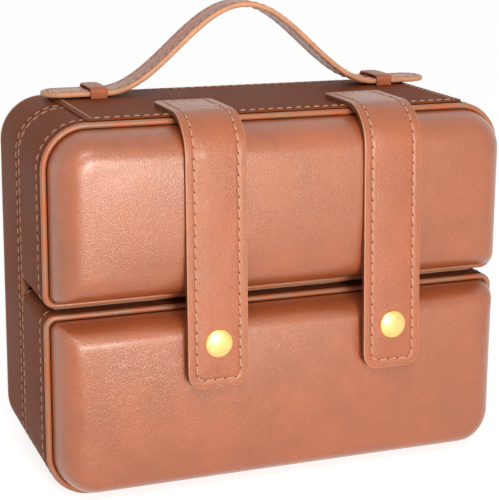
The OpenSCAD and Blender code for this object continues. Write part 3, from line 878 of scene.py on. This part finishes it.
class CASE_OT_gussets(CaseOperator):
    """Wraps the two front boxes and the back section in leather and sews their seams"""
    bl_idname = "jewel_case.gussets"
    bl_label = "Gussets"

    def execute(self, context):
        row = Case.front + FRONT_SEAM
        marks = (Case.mouth, -Case.mouth)
        before = Case.lower_back - BACK_SEAM
        behind = Case.rear_front + BACK_SEAM

        def lower(inset):
            return lower_outline(inset, marks)

        front = gusset_profile(Case.box_front, Case.lower_back, (row,), FRONT_EDGE, SEWN_EDGE)
        rear = gusset_profile(Case.rear_front, Case.rear_back, (), SEWN_EDGE, BACK_EDGE)
        obj = build_gusset("lower_gusset_leather", lower, front, mouth_high=True)
        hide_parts("lower_gusset")
        obj = build_gusset("lid_gusset_leather", lid_outline, front, mouth_low=True, body="lid")
        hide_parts("lid_gusset")
        obj = build_gusset("rear_gusset_leather", rear_outline, rear)
        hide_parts("rear_gusset")
        self.sew(row, before, behind)
        return {"FINISHED"}

    def sew(self, row, before, behind):
        """Stitch rows round the sections, left out over the mouths and under the top panel"""
        low, high = box("overlay_front")

        def covered(p):
            return p[2] > Case.height - 1 and low[0] < p[0] < high[0]

        def lower_open(p):
            return p[2] > Case.lower_top - 1 and abs(p[0]) < Case.mouth

        def lid_open(p):
            return covered(p) or (p[2] < Case.upper_low + 1 and abs(p[0]) < Case.mouth)

        for name, body, outline, y, skip in (
                ("lower_gusset_thread", "case", lower_outline, row, lower_open),
                ("lower_seam_thread", "case", lower_outline, before, lower_open),
                ("lid_gusset_thread", "lid", lid_outline, row, lid_open),
                ("lid_seam_thread", "lid", lid_outline, before, lid_open),
                ("rear_seam_thread", "case", rear_outline, behind, covered)):
            obj = stitch_row(name, [outline_path(outline, y, GUSSET_SINK)], closed=True, skip=skip)
            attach(obj, body)


class CASE_OT_piping(CaseOperator):
    """Runs piping round the front edges and the back edge"""
    bl_idname = "jewel_case.piping"
    bl_label = "Piping"

    def execute(self, context):
        radius = settings().shape.piping / 2
        for name, node_name, outline, y, body in (
                ("lower_piping_bead", "lower_piping", lower_outline, Case.front + radius, "case"),
                ("lid_piping_bead", "lid_piping", lid_outline, Case.front + radius, "lid"),
                ("rear_piping_bead", "rear_piping", rear_outline, Case.back - radius, "case")):
            turns = np.linspace(0, 2 * math.pi, 13)[:-1]
            profile = [(y + radius * math.sin(a), radius - radius * math.cos(a)) for a in turns]
            faces = band_faces(len(profile), RING_COUNT, closed_rings=True)
            obj = new_mesh(name, stack(outline, profile), faces)
            give(obj, piping_material())
            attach(obj, body)
            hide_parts(node_name)
        return {"FINISHED"}


PAD_POWER = 2.35
PAD_CORNER = 5.0
PAD_STEPS = 13
PAD_INNER = 3
PAD_BOW = (0.8, 1.6)
# Inset and depth of the two rings behind a pad's face
PAD_BACK = ((2.5, 0.3), (0.3, 0.0))
LOWER_PAD_TOP = 9.5
STUD_DIMPLE = 13
# The cloth simulation works in metres
PUFF_VOXEL = 0.005
PUFF_FRAMES = 20
PUFF_CAP = 0.0012
PUFF_EVEN = 14
PUFF_NEAR = 16
PUFF_FADE = 0.006
HELD_DEPTH = 0.004
HELD_STUD = 0.007
CLOTH = {"quality": 6, "mass": 0.4, "tension_stiffness": 30, "compression_stiffness": 30,
         "shear_stiffness": 12, "bending_stiffness": 4, "use_pressure": True,
         "uniform_pressure_force": 4.0, "vertex_group_mass": "held"}


class CASE_OT_pads(CaseOperator):
    """Makes the two padded fronts"""
    bl_idname = "jewel_case.pads"
    bl_label = "Front pads"

    def execute(self, context):
        for name, node_name, outline, body in (
                ("lower_front_pad", "lower_pad", lower_outline, "case"),
                ("lid_front_pad", "lid_pad", lid_outline, "lid")):
            obj = self.pad(name, outline, box(node_name))
            give(obj, leather_material())
            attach(obj, body)
            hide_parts(node_name)
        return {"FINISHED"}

    def pad(self, name, outline, limits):
        shape = settings().shape
        low, high = limits
        border = shape.border
        tight = LOWER_PAD_TOP if outline is lower_outline else border
        depth = high[1] - low[1]
        middle = (high[2] + low[2]) / 2
        half_x, half_z = high[0], (high[2] - low[2]) / 2
        studs = [Vector((x, z)) for x, z in self.studs(low, high)]

        def front(x, z, d):
            """Depth of the pad's face at a distance d inside its edge"""
            across, up = half_x - abs(x), half_z - abs(z - middle)
            wide = tight + (border - tight) * up / max(across + up, 0.01)
            edge = 1 - min(d / wide, 1)
            rise = depth * (1 - edge ** PAD_POWER) ** (1 / PAD_POWER)
            bow = max(1 - (x / half_x) ** 2, 0) ** PAD_BOW[0]
            bow *= max(1 - ((z - middle) / half_z) ** 2, 0) ** PAD_BOW[1]
            swell = shape.crown * bow
            for stud in studs:
                swell *= 1 - math.exp(-((Vector((x, z)) - stud).length / STUD_DIMPLE) ** 2)
            return high[1] - rise - swell * min(d / border, 1)

        steps = [border * (1 - math.cos(a)) for a in np.linspace(0, math.pi / 2, PAD_STEPS)]
        steps.append(border + PAD_INNER)
        rings = [outline(Case.pad_inset + d, least=PAD_CORNER) for d in steps]
        points = []
        for inset, behind in PAD_BACK:
            flat = outline(Case.pad_inset + inset, least=PAD_CORNER)
            points += [(x, high[1] + behind, z) for x, z in flat]
        for d, flat in zip(steps, rings):
            points += [(x, front(x, z, d), z) for x, z in flat]
        last = (len(steps) + 1) * RING_COUNT
        inner, cells = fill(rings[-1], LONG, SHORT, ARC)
        base = len(points)
        points += [(x, front(x, z, border + PAD_INNER), z) for x, z in inner]
        faces = band_faces(len(steps) + 2, RING_COUNT)
        faces += [tuple(last + k if k < RING_COUNT else base + k - RING_COUNT for k in f) for f in cells]
        faces.append(tuple(reversed(range(RING_COUNT))))
        obj = outward(new_mesh(name, points, faces))
        self.puff(obj, high[1] / 1000, studs)
        return obj

    def studs(self, low, high):
        """Places of the snap studs that stand on a pad"""
        for side in ("left", "right"):
            a, b = box("snap_stud_" + side)
            z = (a[2] + b[2]) / 2
            if low[2] < z < high[2]:
                yield (a[0] + b[0]) / 2, z

    def puff(self, obj, base, studs):
        """Blows the pad up a little as cloth held at its base, and keeps the small, even bulges"""
        scene = bpy.context.scene
        skin = bpy.data.objects.new("pad_trial", obj.data.copy())
        scene.collection.objects.link(skin)
        remesh = skin.modifiers.new("Even", "REMESH")
        remesh.mode = "VOXEL"
        remesh.voxel_size = PUFF_VOXEL
        skin.data = self.evaluated(skin)
        skin.modifiers.clear()
        rest = self.coordinates(skin.data)
        held = [int(k) for k in np.nonzero(rest[:, 1] > base - HELD_DEPTH)[0]]
        for stud in studs:
            away = np.hypot(rest[:, 0] - stud.x / 1000, rest[:, 2] - stud.y / 1000)
            held += [int(k) for k in np.nonzero(away < HELD_STUD)[0]]
        group = skin.vertex_groups.new(name="held")
        group.add(held, 1.0, "REPLACE")
        cloth = skin.modifiers.new("Blown", "CLOTH")
        for key, value in CLOTH.items():
            setattr(cloth.settings, key, value)
        cloth.settings.effector_weights.gravity = 0.0
        cloth.point_cache.frame_start = 1
        cloth.point_cache.frame_end = PUFF_FRAMES
        for step in range(1, PUFF_FRAMES + 1):
            scene.frame_set(step)
        blown = self.coordinates(self.evaluated(skin))
        scene.frame_set(1)
        move = self.evened(skin.data, blown - rest)
        size = np.linalg.norm(move, axis=1)
        move *= (PUFF_CAP * np.tanh(size / PUFF_CAP) / np.maximum(size, 1e-9))[:, None]
        tree = kdtree.KDTree(len(rest))
        for k, place in enumerate(rest):
            tree.insert(place, k)
        tree.balance()
        points = self.coordinates(obj.data)
        for k, place in enumerate(points):
            near = tree.find_n(place, PUFF_NEAR)
            weights = np.array([math.exp(-(dist / PUFF_VOXEL) ** 2) for _, _, dist in near])
            shift = sum(w * move[i] for w, (_, i, _) in zip(weights, near)) / weights.sum()
            points[k] = place + shift * min(max((base - place[1]) / PUFF_FADE, 0), 1)
        obj.data.vertices.foreach_set("co", points.ravel())
        obj.data.update()
        bpy.data.objects.remove(skin)

    def evened(self, mesh, move):
        """Spreads each point's move over its neighbours, so that no step of the simulation shows"""
        ends = np.zeros(len(mesh.edges) * 2, int)
        mesh.edges.foreach_get("vertices", ends)
        a, b = ends.reshape(-1, 2).T
        links = np.bincount(np.concatenate([a, b]), minlength=len(move))[:, None]
        for _ in range(PUFF_EVEN):
            total = np.zeros_like(move)
            np.add.at(total, a, move[b])
            np.add.at(total, b, move[a])
            move = 0.5 * move + 0.5 * total / np.maximum(links, 1)
        return move

    def evaluated(self, obj):
        graph = bpy.context.evaluated_depsgraph_get()
        return bpy.data.meshes.new_from_object(obj.evaluated_get(graph))

    def coordinates(self, mesh):
        flat = np.zeros(len(mesh.vertices) * 3)
        mesh.vertices.foreach_get("co", flat)
        return flat.reshape(-1, 3)


TOP_CORNER = 3.0


class CASE_OT_top_panel(CaseOperator):
    """Lays the leather panel over the top, across the lid's hinge"""
    bl_idname = "jewel_case.top_panel"
    bl_label = "Top panel"

    def execute(self, context):
        low, _ = box("overlay_front")
        _, high = box("overlay_rear")
        thick = high[2] - low[2]
        mid_z = (high[2] + low[2]) / 2
        middle = (low[1] + high[1]) / 2

        def place(s, t, h):
            return (low[0] + s, middle + t, mid_z + h)

        panel = Panel(high[0] - low[0], high[1] - low[1], TOP_CORNER, TOP_CORNER, thick, place,
                      runs=100, across=64)
        obj = panel.build("top_leather_panel", seam=TOP_SEAM, crown=0.0, channel=0.3, bevel=0.5,
                          under_seam=False)
        # The top panel takes the gusset's leather, darkened as painted shade
        give(obj, shaded_gusset_material(), shaded_gusset_material(), shaded_gusset_material())
        path = panel.path(TOP_SEAM, lift=-0.15)
        thread = stitch_row("top_panel_thread", [path], closed=True)
        for piece in (obj, thread):
            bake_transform(piece)
        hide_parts("overlay_front", "overlay_rear")
        return {"FINISHED"}


class StrapPath:
    """Middle line of a closing strap: along the top, round the edge and down, leaning out"""

    def __init__(self, side):
        low, high = box("strap_" + side)
        self.rear = box("strap_anchor_" + side)[1][1]
        self.x, self.width = (low[0] + high[0]) / 2, high[0] - low[0]
        self.thick, self.radius, self.lean = Case.strap_thick, Case.strap_bend, Case.strap_lean
        self.middle = self.radius + self.thick / 2
        self.bend_z = high[2] - self.thick - self.radius
        end = low[2] - self.radius * math.sin(self.lean)
        self.drop = (self.bend_z - end) / math.cos(self.lean)
        self.bend_y = (low[1] + (self.radius + self.thick) * math.cos(self.lean)
                       + self.drop * math.sin(self.lean))
        self.flat = self.rear - self.bend_y
        self.turn = math.pi / 2 - self.lean
        self.length = self.flat + self.turn * self.middle + self.drop

    def place(self, s, t, h):
        if s < self.flat:
            return (self.x + t, self.rear - s, self.bend_z + self.middle + h)
        a = min((s - self.flat) / self.middle, self.turn)
        r = self.middle + h
        down = max(s - self.flat - self.turn * self.middle, 0)
        return (self.x + t, self.bend_y - r * math.sin(a) - down * math.sin(self.lean),
                self.bend_z + r * math.cos(a) - down * math.cos(self.lean))

    def at_height(self, z):
        """Distance along the strap at which its middle line is at height z"""
        start = self.bend_z + self.middle * math.sin(self.lean)
        return self.flat + self.turn * self.middle + (start - z) / math.cos(self.lean)


# A strap's corner radii on top and at its free end; the cross seam stands before the bend
STRAP_CORNERS = (3.0, 8.0)
STRAP_PITCH = 5.6
CROSS_PITCH = 5.0
CROSS_HALF = 12.6
CROSS_POINTS = 12
CROSS_BEFORE_BEND = 8


class CASE_OT_straps(CaseOperator):
    """Makes the two closing straps, from the top round to the lower front"""
    bl_idname = "jewel_case.straps"
    bl_label = "Straps"

    def execute(self, context):
        for side, body in (("left", "strap_l"), ("right", "strap_r")):
            self.strap(side, body)
        return {"FINISHED"}

    def strap(self, side, body):
        path = StrapPath(side)
        panel = Panel(path.length, path.width, *STRAP_CORNERS, path.thick, path.place,
                      runs=150, across=10)
        obj = panel.build("strap_%s_leather" % side, bevel=0.4, crown=0.3, ripple=0.25)
        # Slot 2, the strap's sides, is dark as painted shade; the bevels keep the light edge paint
        give(obj, strap_material(), edge_material(), shaded_strap_side_material())
        across = [(path.flat - CROSS_BEFORE_BEND, t)
                  for t in np.linspace(-CROSS_HALF, CROSS_HALF, CROSS_POINTS)]
        thread = stitch_row("strap_%s_thread" % side, [panel.path(STRAP_SEAM, lift=-THREAD_SINK)],
                            closed=True, pitch=STRAP_PITCH)
        cross = stitch_row("strap_%s_cross_thread" % side, [panel.lay(across, lift=-0.05)],
                           pitch=CROSS_PITCH)
        for piece in (obj, thread, cross):
            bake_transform(piece)
        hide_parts("strap_" + side, "strap_anchor_" + side)


LATHE_STEPS = 48


def lathe(name, profile, place):
    """Turned piece: (radius, height) steps about the axis that place() maps to"""
    points = []
    for r, h in profile:
        for k in range(LATHE_STEPS):
            a = 2 * math.pi * k / LATHE_STEPS
            points.append(place(r * math.cos(a), r * math.sin(a), h))
    faces = band_faces(len(profile), LATHE_STEPS) + caps(len(profile), LATHE_STEPS)
    return new_mesh(name, points, faces)


SNAP_DOME = 2.8
SNAP_RIM = 0.75
SNAP_TURNS = (0.16, math.pi / 2 - 0.06, 12)
# Inset and height of a snap cap's rim, below its dome
SNAP_FOOT = ((0.5, 0.0), (0.12, 0.12), (0.0, 0.38), (0.04, 0.6), (0.16, 0.78))


class CASE_OT_snaps(CaseOperator):
    """Turns the domed snap caps"""
    bl_idname = "jewel_case.snaps"
    bl_label = "Snaps"

    def execute(self, context):
        for side, body in (("left", "strap_l"), ("right", "strap_r")):
            low, high = box("snap_cap_" + side)
            path = StrapPath(side)
            r = (high[0] - low[0]) / 2
            where = path.at_height((low[2] + high[2]) / 2)

            def place(a, b, h):
                return path.place(where - b, a, path.thick / 2 + h)

            profile = [(r - inside, up) for inside, up in SNAP_FOOT]
            profile += [(r * math.cos(t), SNAP_RIM + (SNAP_DOME - SNAP_RIM) * math.sin(t))
                        for t in np.linspace(*SNAP_TURNS)]
            obj = lathe("snap_cap_%s_dome" % side, profile, place)
            give(obj, brass_material())
            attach(obj, body)
            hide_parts("snap_cap_" + side)
            for kind in ("snap_stud_", "snap_socket_"):
                repaint(kind + side, brass_material())
        return {"FINISHED"}


ARCH_POINTS = 801
HANDLE_SEAM = 3.4
HANDLE_PITCH = 5.4
HANDLE_CORNER = 10.0
SLOPE_STEP = 0.2


class CASE_OT_handle(CaseOperator):
    """Makes the handle strap in two halves, cut at its middle"""
    bl_idname = "jewel_case.handle"
    bl_label = "Handle"

    def execute(self, context):
        low, high = box("handle_tab_left")
        _, far = box("handle_tab_right")
        crown = box("handle_grip")[1][2]
        thick = high[2] - low[2]
        mid_x, mid_y = (low[0] + far[0]) / 2, (low[1] + high[1]) / 2
        mid_z = (low[2] + high[2]) / 2
        half_len = (far[0] - low[0]) / 2
        rise = crown - thick / 2 - mid_z
        reach = mid_x - high[0]
        width = high[1] - low[1]

        def arch(x):
            return mid_z + rise * (1 + math.cos(math.pi * min(abs(x), reach) / reach)) / 2

        xs = np.linspace(-half_len, half_len, ARCH_POINTS)
        zs = np.array([arch(x) for x in xs])
        lengths = np.concatenate([[0], np.cumsum(np.hypot(np.diff(xs), np.diff(zs)))])

        def place(s, t, h):
            x = float(np.interp(s, lengths, xs))
            slope = (arch(x + SLOPE_STEP) - arch(x - SLOPE_STEP)) / (2 * SLOPE_STEP)
            steep = math.hypot(1, slope)
            return (mid_x + x - h * slope / steep, mid_y + t, arch(x) + h / steep)

        panel = Panel(lengths[-1], width, HANDLE_CORNER, HANDLE_CORNER, thick, place, runs=150, across=4)
        whole = panel.build("handle_leather", seam=HANDLE_SEAM, crown=0.15, channel=0.3)
        give(whole, strap_material(), edge_material(), edge_material())
        threads = [stitch_row("handle_thread_" + tag, [panel.path(HANDLE_SEAM, face, -THREAD_SINK)],
                              closed=True, pitch=HANDLE_PITCH)
                   for face, tag in ((1, "top"), (-1, "under"))]
        for obj in [whole] + threads:
            self.halve(obj, mid_x / 1000, high[0] / 1000, box("handle_tab_right")[0][0] / 1000)
        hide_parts("handle_tab_left", "handle_arm_left",
                    "handle_grip")
        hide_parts("handle_tab_right", "handle_arm_right")
        return {"FINISHED"}

    def halve(self, obj, middle, left_end, right_end):
        """Splits a piece at the handle's middle into two halves"""
        for side, body, end in (("left", "tab_l", left_end), ("right", "tab_r", right_end)):
            mesh = obj.data.copy()
            piece = bpy.data.objects.new("%s_%s" % (obj.name, side), mesh)
            bpy.context.scene.collection.objects.link(piece)
            self.keep_side(mesh, middle, side == "left")
            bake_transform(piece)
        bpy.data.objects.remove(obj)

    def keep_side(self, mesh, middle, left):
        """Cuts away what lies past the middle"""
        bm = bmesh.new()
        bm.from_mesh(mesh)
        bmesh.ops.bisect_plane(bm, geom=bm.verts[:] + bm.edges[:] + bm.faces[:], dist=1e-7,
                               plane_co=(middle, 0, 0), plane_no=(1, 0, 0),
                               clear_outer=left, clear_inner=not left)
        bm.to_mesh(mesh)
        bm.free()


KEEPER_THICK = 1.2
KEEPER_BEND = 2.2
KEEPER_CROWN = 0.25
KEEPER_TUCK = 0.2
KEEPER_STEPS = 12
KEEPER_TURNS = 9
KEEPER_LOOK = 0.4


class CASE_OT_keepers(CaseOperator):
    """Folds the two keeper loops over the handle's ends"""
    bl_idname = "jewel_case.keepers"
    bl_label = "Keepers"

    def execute(self, context):
        for side in ("left", "right"):
            low, high = box("keeper_" + side)
            x, width = (low[0] + high[0]) / 2, high[0] - low[0]
            half, r = KEEPER_THICK / 2, KEEPER_BEND
            y0, y1 = low[1] + half, high[1] - half
            top = high[2] - half
            turns = np.linspace(0, math.pi / 2, KEEPER_TURNS)
            route = [(y0 + KEEPER_TUCK, low[2])]
            route += [(y0 + r - r * math.cos(a), top - r + r * math.sin(a)) for a in turns]
            route += [(y0 + r + (y1 - y0 - 2 * r) * k / KEEPER_STEPS,
                       top + KEEPER_CROWN * math.sin(math.pi * k / KEEPER_STEPS))
                      for k in range(1, KEEPER_STEPS)]
            route += [(y1 - r + r * math.sin(a), top - r + r * math.cos(a)) for a in turns]
            route += [(y1 - KEEPER_TUCK, low[2])]
            route = np.array(route)
            lengths = np.concatenate([[0], np.cumsum(np.hypot(*np.diff(route, axis=0).T))])

            def place(s, t, h):
                stations = s, max(s - KEEPER_LOOK, 0), min(s + KEEPER_LOOK, lengths[-1])
                y, y_before, y_after = np.interp(stations, lengths, route[:, 0])
                z, z_before, z_after = np.interp(stations, lengths, route[:, 1])
                dy, dz = y_after - y_before, z_after - z_before
                size = math.hypot(dy, dz)
                return (x + t, y - h * dz / size, z + h * dy / size)

            panel = Panel(lengths[-1], width, PANEL_LEAST, PANEL_LEAST, KEEPER_THICK, place,
                          runs=60, across=4)
            obj = panel.build("keeper_%s_loop" % side, seam=0, crown=0.4, bevel=0.5)
            give(obj, keeper_material(), keeper_material(), keeper_material())
            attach(obj, "case")
            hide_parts("keeper_" + side)
        return {"FINISHED"}


RIB_PITCH = 0.55
RIB_RISE = 0.12
# The tape's section: distance in from its nearer edge, that edge (0 front, 1 back) and depth
TAPE_SECTION = ((0.0, 0, -1.6), (0.1, 0, -0.6), (0.6, 0, -0.42), (0.6, 1, -0.42), (0.1, 1, -0.6),
                (0.0, 1, -1.6), (0.0, 1, -4.2), (0.0, 0, -4.2))


class CASE_OT_seam_tape(CaseOperator):
    """Weaves the ribbed tape in the seam between the front boxes and the back"""
    bl_idname = "jewel_case.seam_tape"
    bl_label = "Seam tape"

    def execute(self, context):
        low, high = box("seam_binding")
        section = [(high[1] - inside if edge else low[1] + inside, d) for inside, edge, d in TAPE_SECTION]
        p, n, s = along(*outline_path(rear_outline, 0), True)
        count = int(s[-1] / RIB_PITCH)
        points = []
        for k in range(count):
            on, up = at(p, n, s, s[-1] * k / count)
            ridge = RIB_RISE if k % 2 else -RIB_RISE
            for y, d in section:
                lift = ridge if d > -1 else 0
                points.append((on[0] + up[0] * (d + lift), y, on[2] + up[2] * (d + lift)))
        faces = band_faces(count, len(section), closed_rings=True)
        obj = new_mesh("seam_tape_ribbed", points, faces)
        give(obj, tape_material())
        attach(obj, "case")
        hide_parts("seam_binding")
        return {"FINISHED"}


# A roll's foot inset, the spans of its base, the steps of its ends and their shares of full size
ROLL_FOOT = 0.9
ROLL_BASE = 8
ROLL_TURNS = 9
ROLL_END_HEIGHT = 0.55
ROLL_END_WIDTH = 0.97
ROLL_END = 6.0
ROLL_STEPS = 64
ROLL_ARC = 15
ROLL_CLEFT = 0.12
ROLL_ROUND = 2.6
ROLL_PUCKER = 0.22
ROLL_WAVE = 0.10


class CASE_OT_ring_rolls(CaseOperator):
    """Stuffs the velvet rolls that hold rings, in the back and in the tray"""
    bl_idname = "jewel_case.ring_rolls"
    bl_label = "Ring rolls"

    def execute(self, context):
        low, high = box("ring_rolls")
        obj = self.rolls("ring_roll_cushion", (low[0], high[0]), (low[1], high[1]), (low[2], high[2]), 3,
                         lambda along, across, z: (along, across, z))
        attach(obj, "case")
        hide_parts("ring_rolls")
        low, high = box("tray_ring_roll")
        tray = self.rolls("tray_ring_cushion", (low[1], high[1]), (low[0], high[0]), (low[2], high[2]), 4,
                          lambda along, across, z: (across, along, z))
        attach(tray, "tray")
        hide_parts("tray_ring_roll")
        return {"FINISHED"}

    def rolls(self, name, length, width, height, count, place):
        """Stuffed rolls side by side, with puckered round ends and a sewn cleft between each pair"""
        low, high = height
        radius = (width[1] - width[0]) / count / 2
        axis_z = high - radius
        middle = (width[0] + width[1]) / 2
        section = [(width[0] + ROLL_FOOT, low), (width[0] + 0.2, low + 1.0)]
        for k in range(count):
            centre = width[0] + radius * (2 * k + 1)
            first = 0.0 if k == 0 else ROLL_CLEFT
            last = math.pi - (0 if k == count - 1 else ROLL_CLEFT)
            section += [(centre - radius * math.cos(a), axis_z + radius * math.sin(a))
                        for a in np.linspace(first, last, ROLL_ARC)]
        section += [(width[1] - 0.2, low + 1.0), (width[1] - ROLL_FOOT, low)]
        section += [(width[1] - ROLL_FOOT + (width[0] - width[1] + 2 * ROLL_FOOT) * k / ROLL_BASE, low)
                    for k in range(1, ROLL_BASE)]
        ends = [ROLL_END * (1 - math.cos(a)) for a in np.linspace(0, math.pi / 2, ROLL_TURNS)]
        full = length[1] - length[0]
        stations = ends + list(np.linspace(ROLL_END, full - ROLL_END, ROLL_STEPS)[1:-1])
        stations += [full - d for d in reversed(ends)]
        points = []
        for d in stations:
            near = min(d, full - d)
            share = min(near / ROLL_END, 1)
            full_share = (1 - (1 - share) ** ROLL_ROUND) ** (1 / ROLL_ROUND)
            round_off = ROLL_END_HEIGHT + (1 - ROLL_END_HEIGHT) * full_share
            narrow = ROLL_END_WIDTH + (1 - ROLL_END_WIDTH) * round_off
            for j, (c, z) in enumerate(section):
                drop = 0
                if z > low + 2:
                    drop = abs(ROLL_PUCKER * math.exp(-near / 3.5) * math.sin(2.1 * j))
                    drop += abs(ROLL_WAVE * math.sin(d * 0.31 + c * 0.5) * min(near / 8, 1))
                top = low + (z - low) * round_off - drop
                points.append(place(length[0] + d, middle + (c - middle) * narrow, top))
        faces = band_faces(len(stations), len(section)) + caps(len(stations), len(section))
        return give(outward(new_mesh(name, points, faces)), velvet_material())


# Points over a fold of a pocket and over its height, and the band that the gathering thread pulls in
FOLD_STEPS = 14
POCKET_STEPS = 44
GATHER_BAND = (0.87, 0.93)
GATHER_PINCH = 0.75
CLOTH_THICK = 0.45
CLOTH_CLEAR = 0.4
CLOTH_LEAST = 0.05
FOLD_SAMPLES = 60
FOLD_TRIALS = 24
HELD_SHARE = 0.06


class CASE_OT_pockets(CaseOperator):
    """Gathers the suede pockets for chains on the back wall and for papers in the lid"""
    bl_idname = "jewel_case.pockets"
    bl_label = "Pockets"

    def execute(self, context):
        for side in ("left", "right"):
            node_name = "chain_pocket_" + side
            self.pocket(node_name + "_cloth", node_name, cut=(74, 66), folds=9, deep=4.2, front=-1,
                        body="case", wall="rear_lining")
        self.pocket("lid_pocket_cloth", "lid_pocket", cut=(168, 54), folds=25, deep=1.7, front=1,
                    body="lid", wall="lid_lining")
        return {"FINISHED"}

    def pocket(self, name, node_name, cut, folds, deep, front, body, wall):
        """Cloth cut wider than its place, gathered at hem and foot and held to the wall at its sides"""
        low, high = box(node_name)
        wide, tall = high[0] - low[0], high[2] - low[2]
        back = high[1] if front < 0 else low[1]
        across, up = folds * FOLD_STEPS, POCKET_STEPS
        wave = 2 * math.pi * folds / wide

        def rows(v):
            """Amplitude of the folds at a height, so that the row is as long as the cut is wide"""
            target = cut[0] / wide * (1.05 - 0.05 * math.sin(math.pi * v) ** 2)
            few, many = 0.0, 4.0
            u = np.linspace(0, 2 * math.pi, FOLD_SAMPLES)
            for _ in range(FOLD_TRIALS):
                mid = (few + many) / 2
                if np.mean(np.sqrt(1 + (mid * wave * np.cos(u)) ** 2)) < target:
                    few = mid
                else:
                    many = mid
            return few

        points, faces = [], []
        for layer in (0, 1):
            for j in range(up + 1):
                v = j / up
                size = rows(v)
                bulge = deep * math.sin(math.pi * min(0.5, 0.12 + v * 0.62)) ** 1.5
                pinch = GATHER_PINCH if GATHER_BAND[0] < v < GATHER_BAND[1] else 1.0
                for i in range(across + 1):
                    u = i / across
                    held = min(u, 1 - u) / HELD_SHARE
                    held = 1 if held > 1 else held * held * (3 - 2 * held)
                    foot = min(v / 0.05, 1)
                    sway = 0.5 * math.sin(5 * u + 3 * v) + 0.35 * math.sin(11 * u - 2 * v)
                    fold = size * math.sin(wave * wide * u + sway * (1 - v)) * held
                    off = CLOTH_CLEAR + size * 0.98 * held + bulge * held * (0.55 + 0.45 * foot) * pinch
                    off += fold
                    if layer:
                        off = max(off - CLOTH_THICK, CLOTH_LEAST)
                    points.append((low[0] + wide * u, back + front * off, low[2] + tall * v))
        row = across + 1
        block = row * (up + 1)
        for j in range(up):
            for i in range(across):
                a = j * row + i
                faces.append((a, a + 1, a + row + 1, a + row))
                faces.append((block + a, block + a + row, block + a + row + 1, block + a + 1))
        rim = ([i for i in range(row)] + [j * row + across for j in range(1, up + 1)]
               + [up * row + i for i in range(across - 1, -1, -1)] + [j * row for j in range(up - 1, 0, -1)])
        for k, a in enumerate(rim):
            b = rim[(k + 1) % len(rim)]
            faces.append((a, block + a, block + b, b))
        obj = give(outward(new_mesh(name, points, faces)), suede_material())
        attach(obj, body)
        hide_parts(node_name)


BACK_INSET = 9.0
FRAME_INSET = 2.5
FRAME_CORNER = 3.5
FRAME_PITCH = 3.2
FRAME_THREAD = 0.5


class CASE_OT_back_seam(CaseOperator):
    """Sews the back panel and the mirror's frame along their edges"""
    bl_idname = "jewel_case.back_seam"
    bl_label = "Back seams"

    def execute(self, context):
        _, high = box("rear_panel")
        xz = rear_outline(BACK_INSET)
        path = ([(x, high[1] - 0.1, z) for x, z in xz], [(0, 1, 0)] * len(xz))
        obj = stitch_row("rear_panel_thread", [path], closed=True)
        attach(obj, "case")
        low, high = box("mirror_frame")
        corner = FRAME_CORNER + FRAME_INSET
        xz = ring(low[2], high[2], corner, corner, FRAME_INSET, half=high[0])
        path = ([(x, low[1] + 0.1, z) for x, z in xz], [(0, -1, 0)] * len(xz))
        obj = stitch_row("mirror_frame_thread", [path], closed=True, pitch=FRAME_PITCH,
                         thick=FRAME_THREAD)
        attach(obj, "case")
        return {"FINISHED"}


class CASE_OT_inside(CaseOperator):
    """Finishes the boards, linings and fittings that the open case shows"""
    bl_idname = "jewel_case.inside"
    bl_label = "Inside"

    def execute(self, context):
        for name in ("lower_lining", "rear_lining", "lid_lining", "lower_rim", "bay_wall_left",
                     "bay_wall_right", "ring_shelf", "tray_dividers", "tray_lining",
                     "tray_ledge_left", "tray_ledge_right", "store_dividers"):
            repaint(name, suede_material())
        for name in ("lower_box", "rear_box", "lid_box"):
            repaint(name, board_material())
        repaint("tray_box", velvet_material())
        for name in ("mirror_frame", "hook_bar_left", "hook_bar_right", "tray_pulls"):
            repaint(name, leather_material())
        for name in ("base_panel", "rear_panel"):
            repaint(name, shaded_gusset_material())
        for name in ("necklace_hooks_left", "necklace_hooks_right"):
            repaint(name, brass_material())
        repaint("mirror_glass", mirror_material())
        return {"FINISHED"}


OPERATORS = (
    CASE_OT_stage,
    CASE_OT_gussets,
    CASE_OT_piping,
    CASE_OT_pads,
    CASE_OT_top_panel,
    CASE_OT_straps,
    CASE_OT_snaps,
    CASE_OT_handle,
    CASE_OT_keepers,
    CASE_OT_seam_tape,
    CASE_OT_ring_rolls,
    CASE_OT_pockets,
    CASE_OT_back_seam,
    CASE_OT_inside,
)


class CASE_PT_panel(bpy.types.Panel):
    """Lists the case's pieces"""
    bl_label = "Jewellery Case"
    bl_idname = "CASE_PT_panel"
    bl_space_type = "VIEW_3D"
    bl_region_type = "UI"
    bl_category = "Jewellery Case"

    def draw(self, context):
        case = context.scene.jewellery_case
        for group in (case.shape, case.thread, case.colours):
            column = self.layout.column(align=True)
            for key in group.__annotations__:
                column.prop(group, key)
        for operator in OPERATORS:
            self.layout.operator(operator.bl_idname)


CLASSES = (CaseShape, ThreadShape, Colours, JewelleryCase) + OPERATORS + (CASE_PT_panel,)


def register():
    for c in CLASSES:
        bpy.utils.register_class(c)
    bpy.types.Scene.jewellery_case = PointerProperty(type=JewelleryCase)


def unregister():
    del bpy.types.Scene.jewellery_case
    for c in reversed(CLASSES):
        bpy.utils.unregister_class(c)


def main():
    register()
    for operator in OPERATORS:
        group, name = operator.bl_idname.split(".")
        getattr(getattr(bpy.ops, group), name)()


if __name__ == "__main__":
    main()
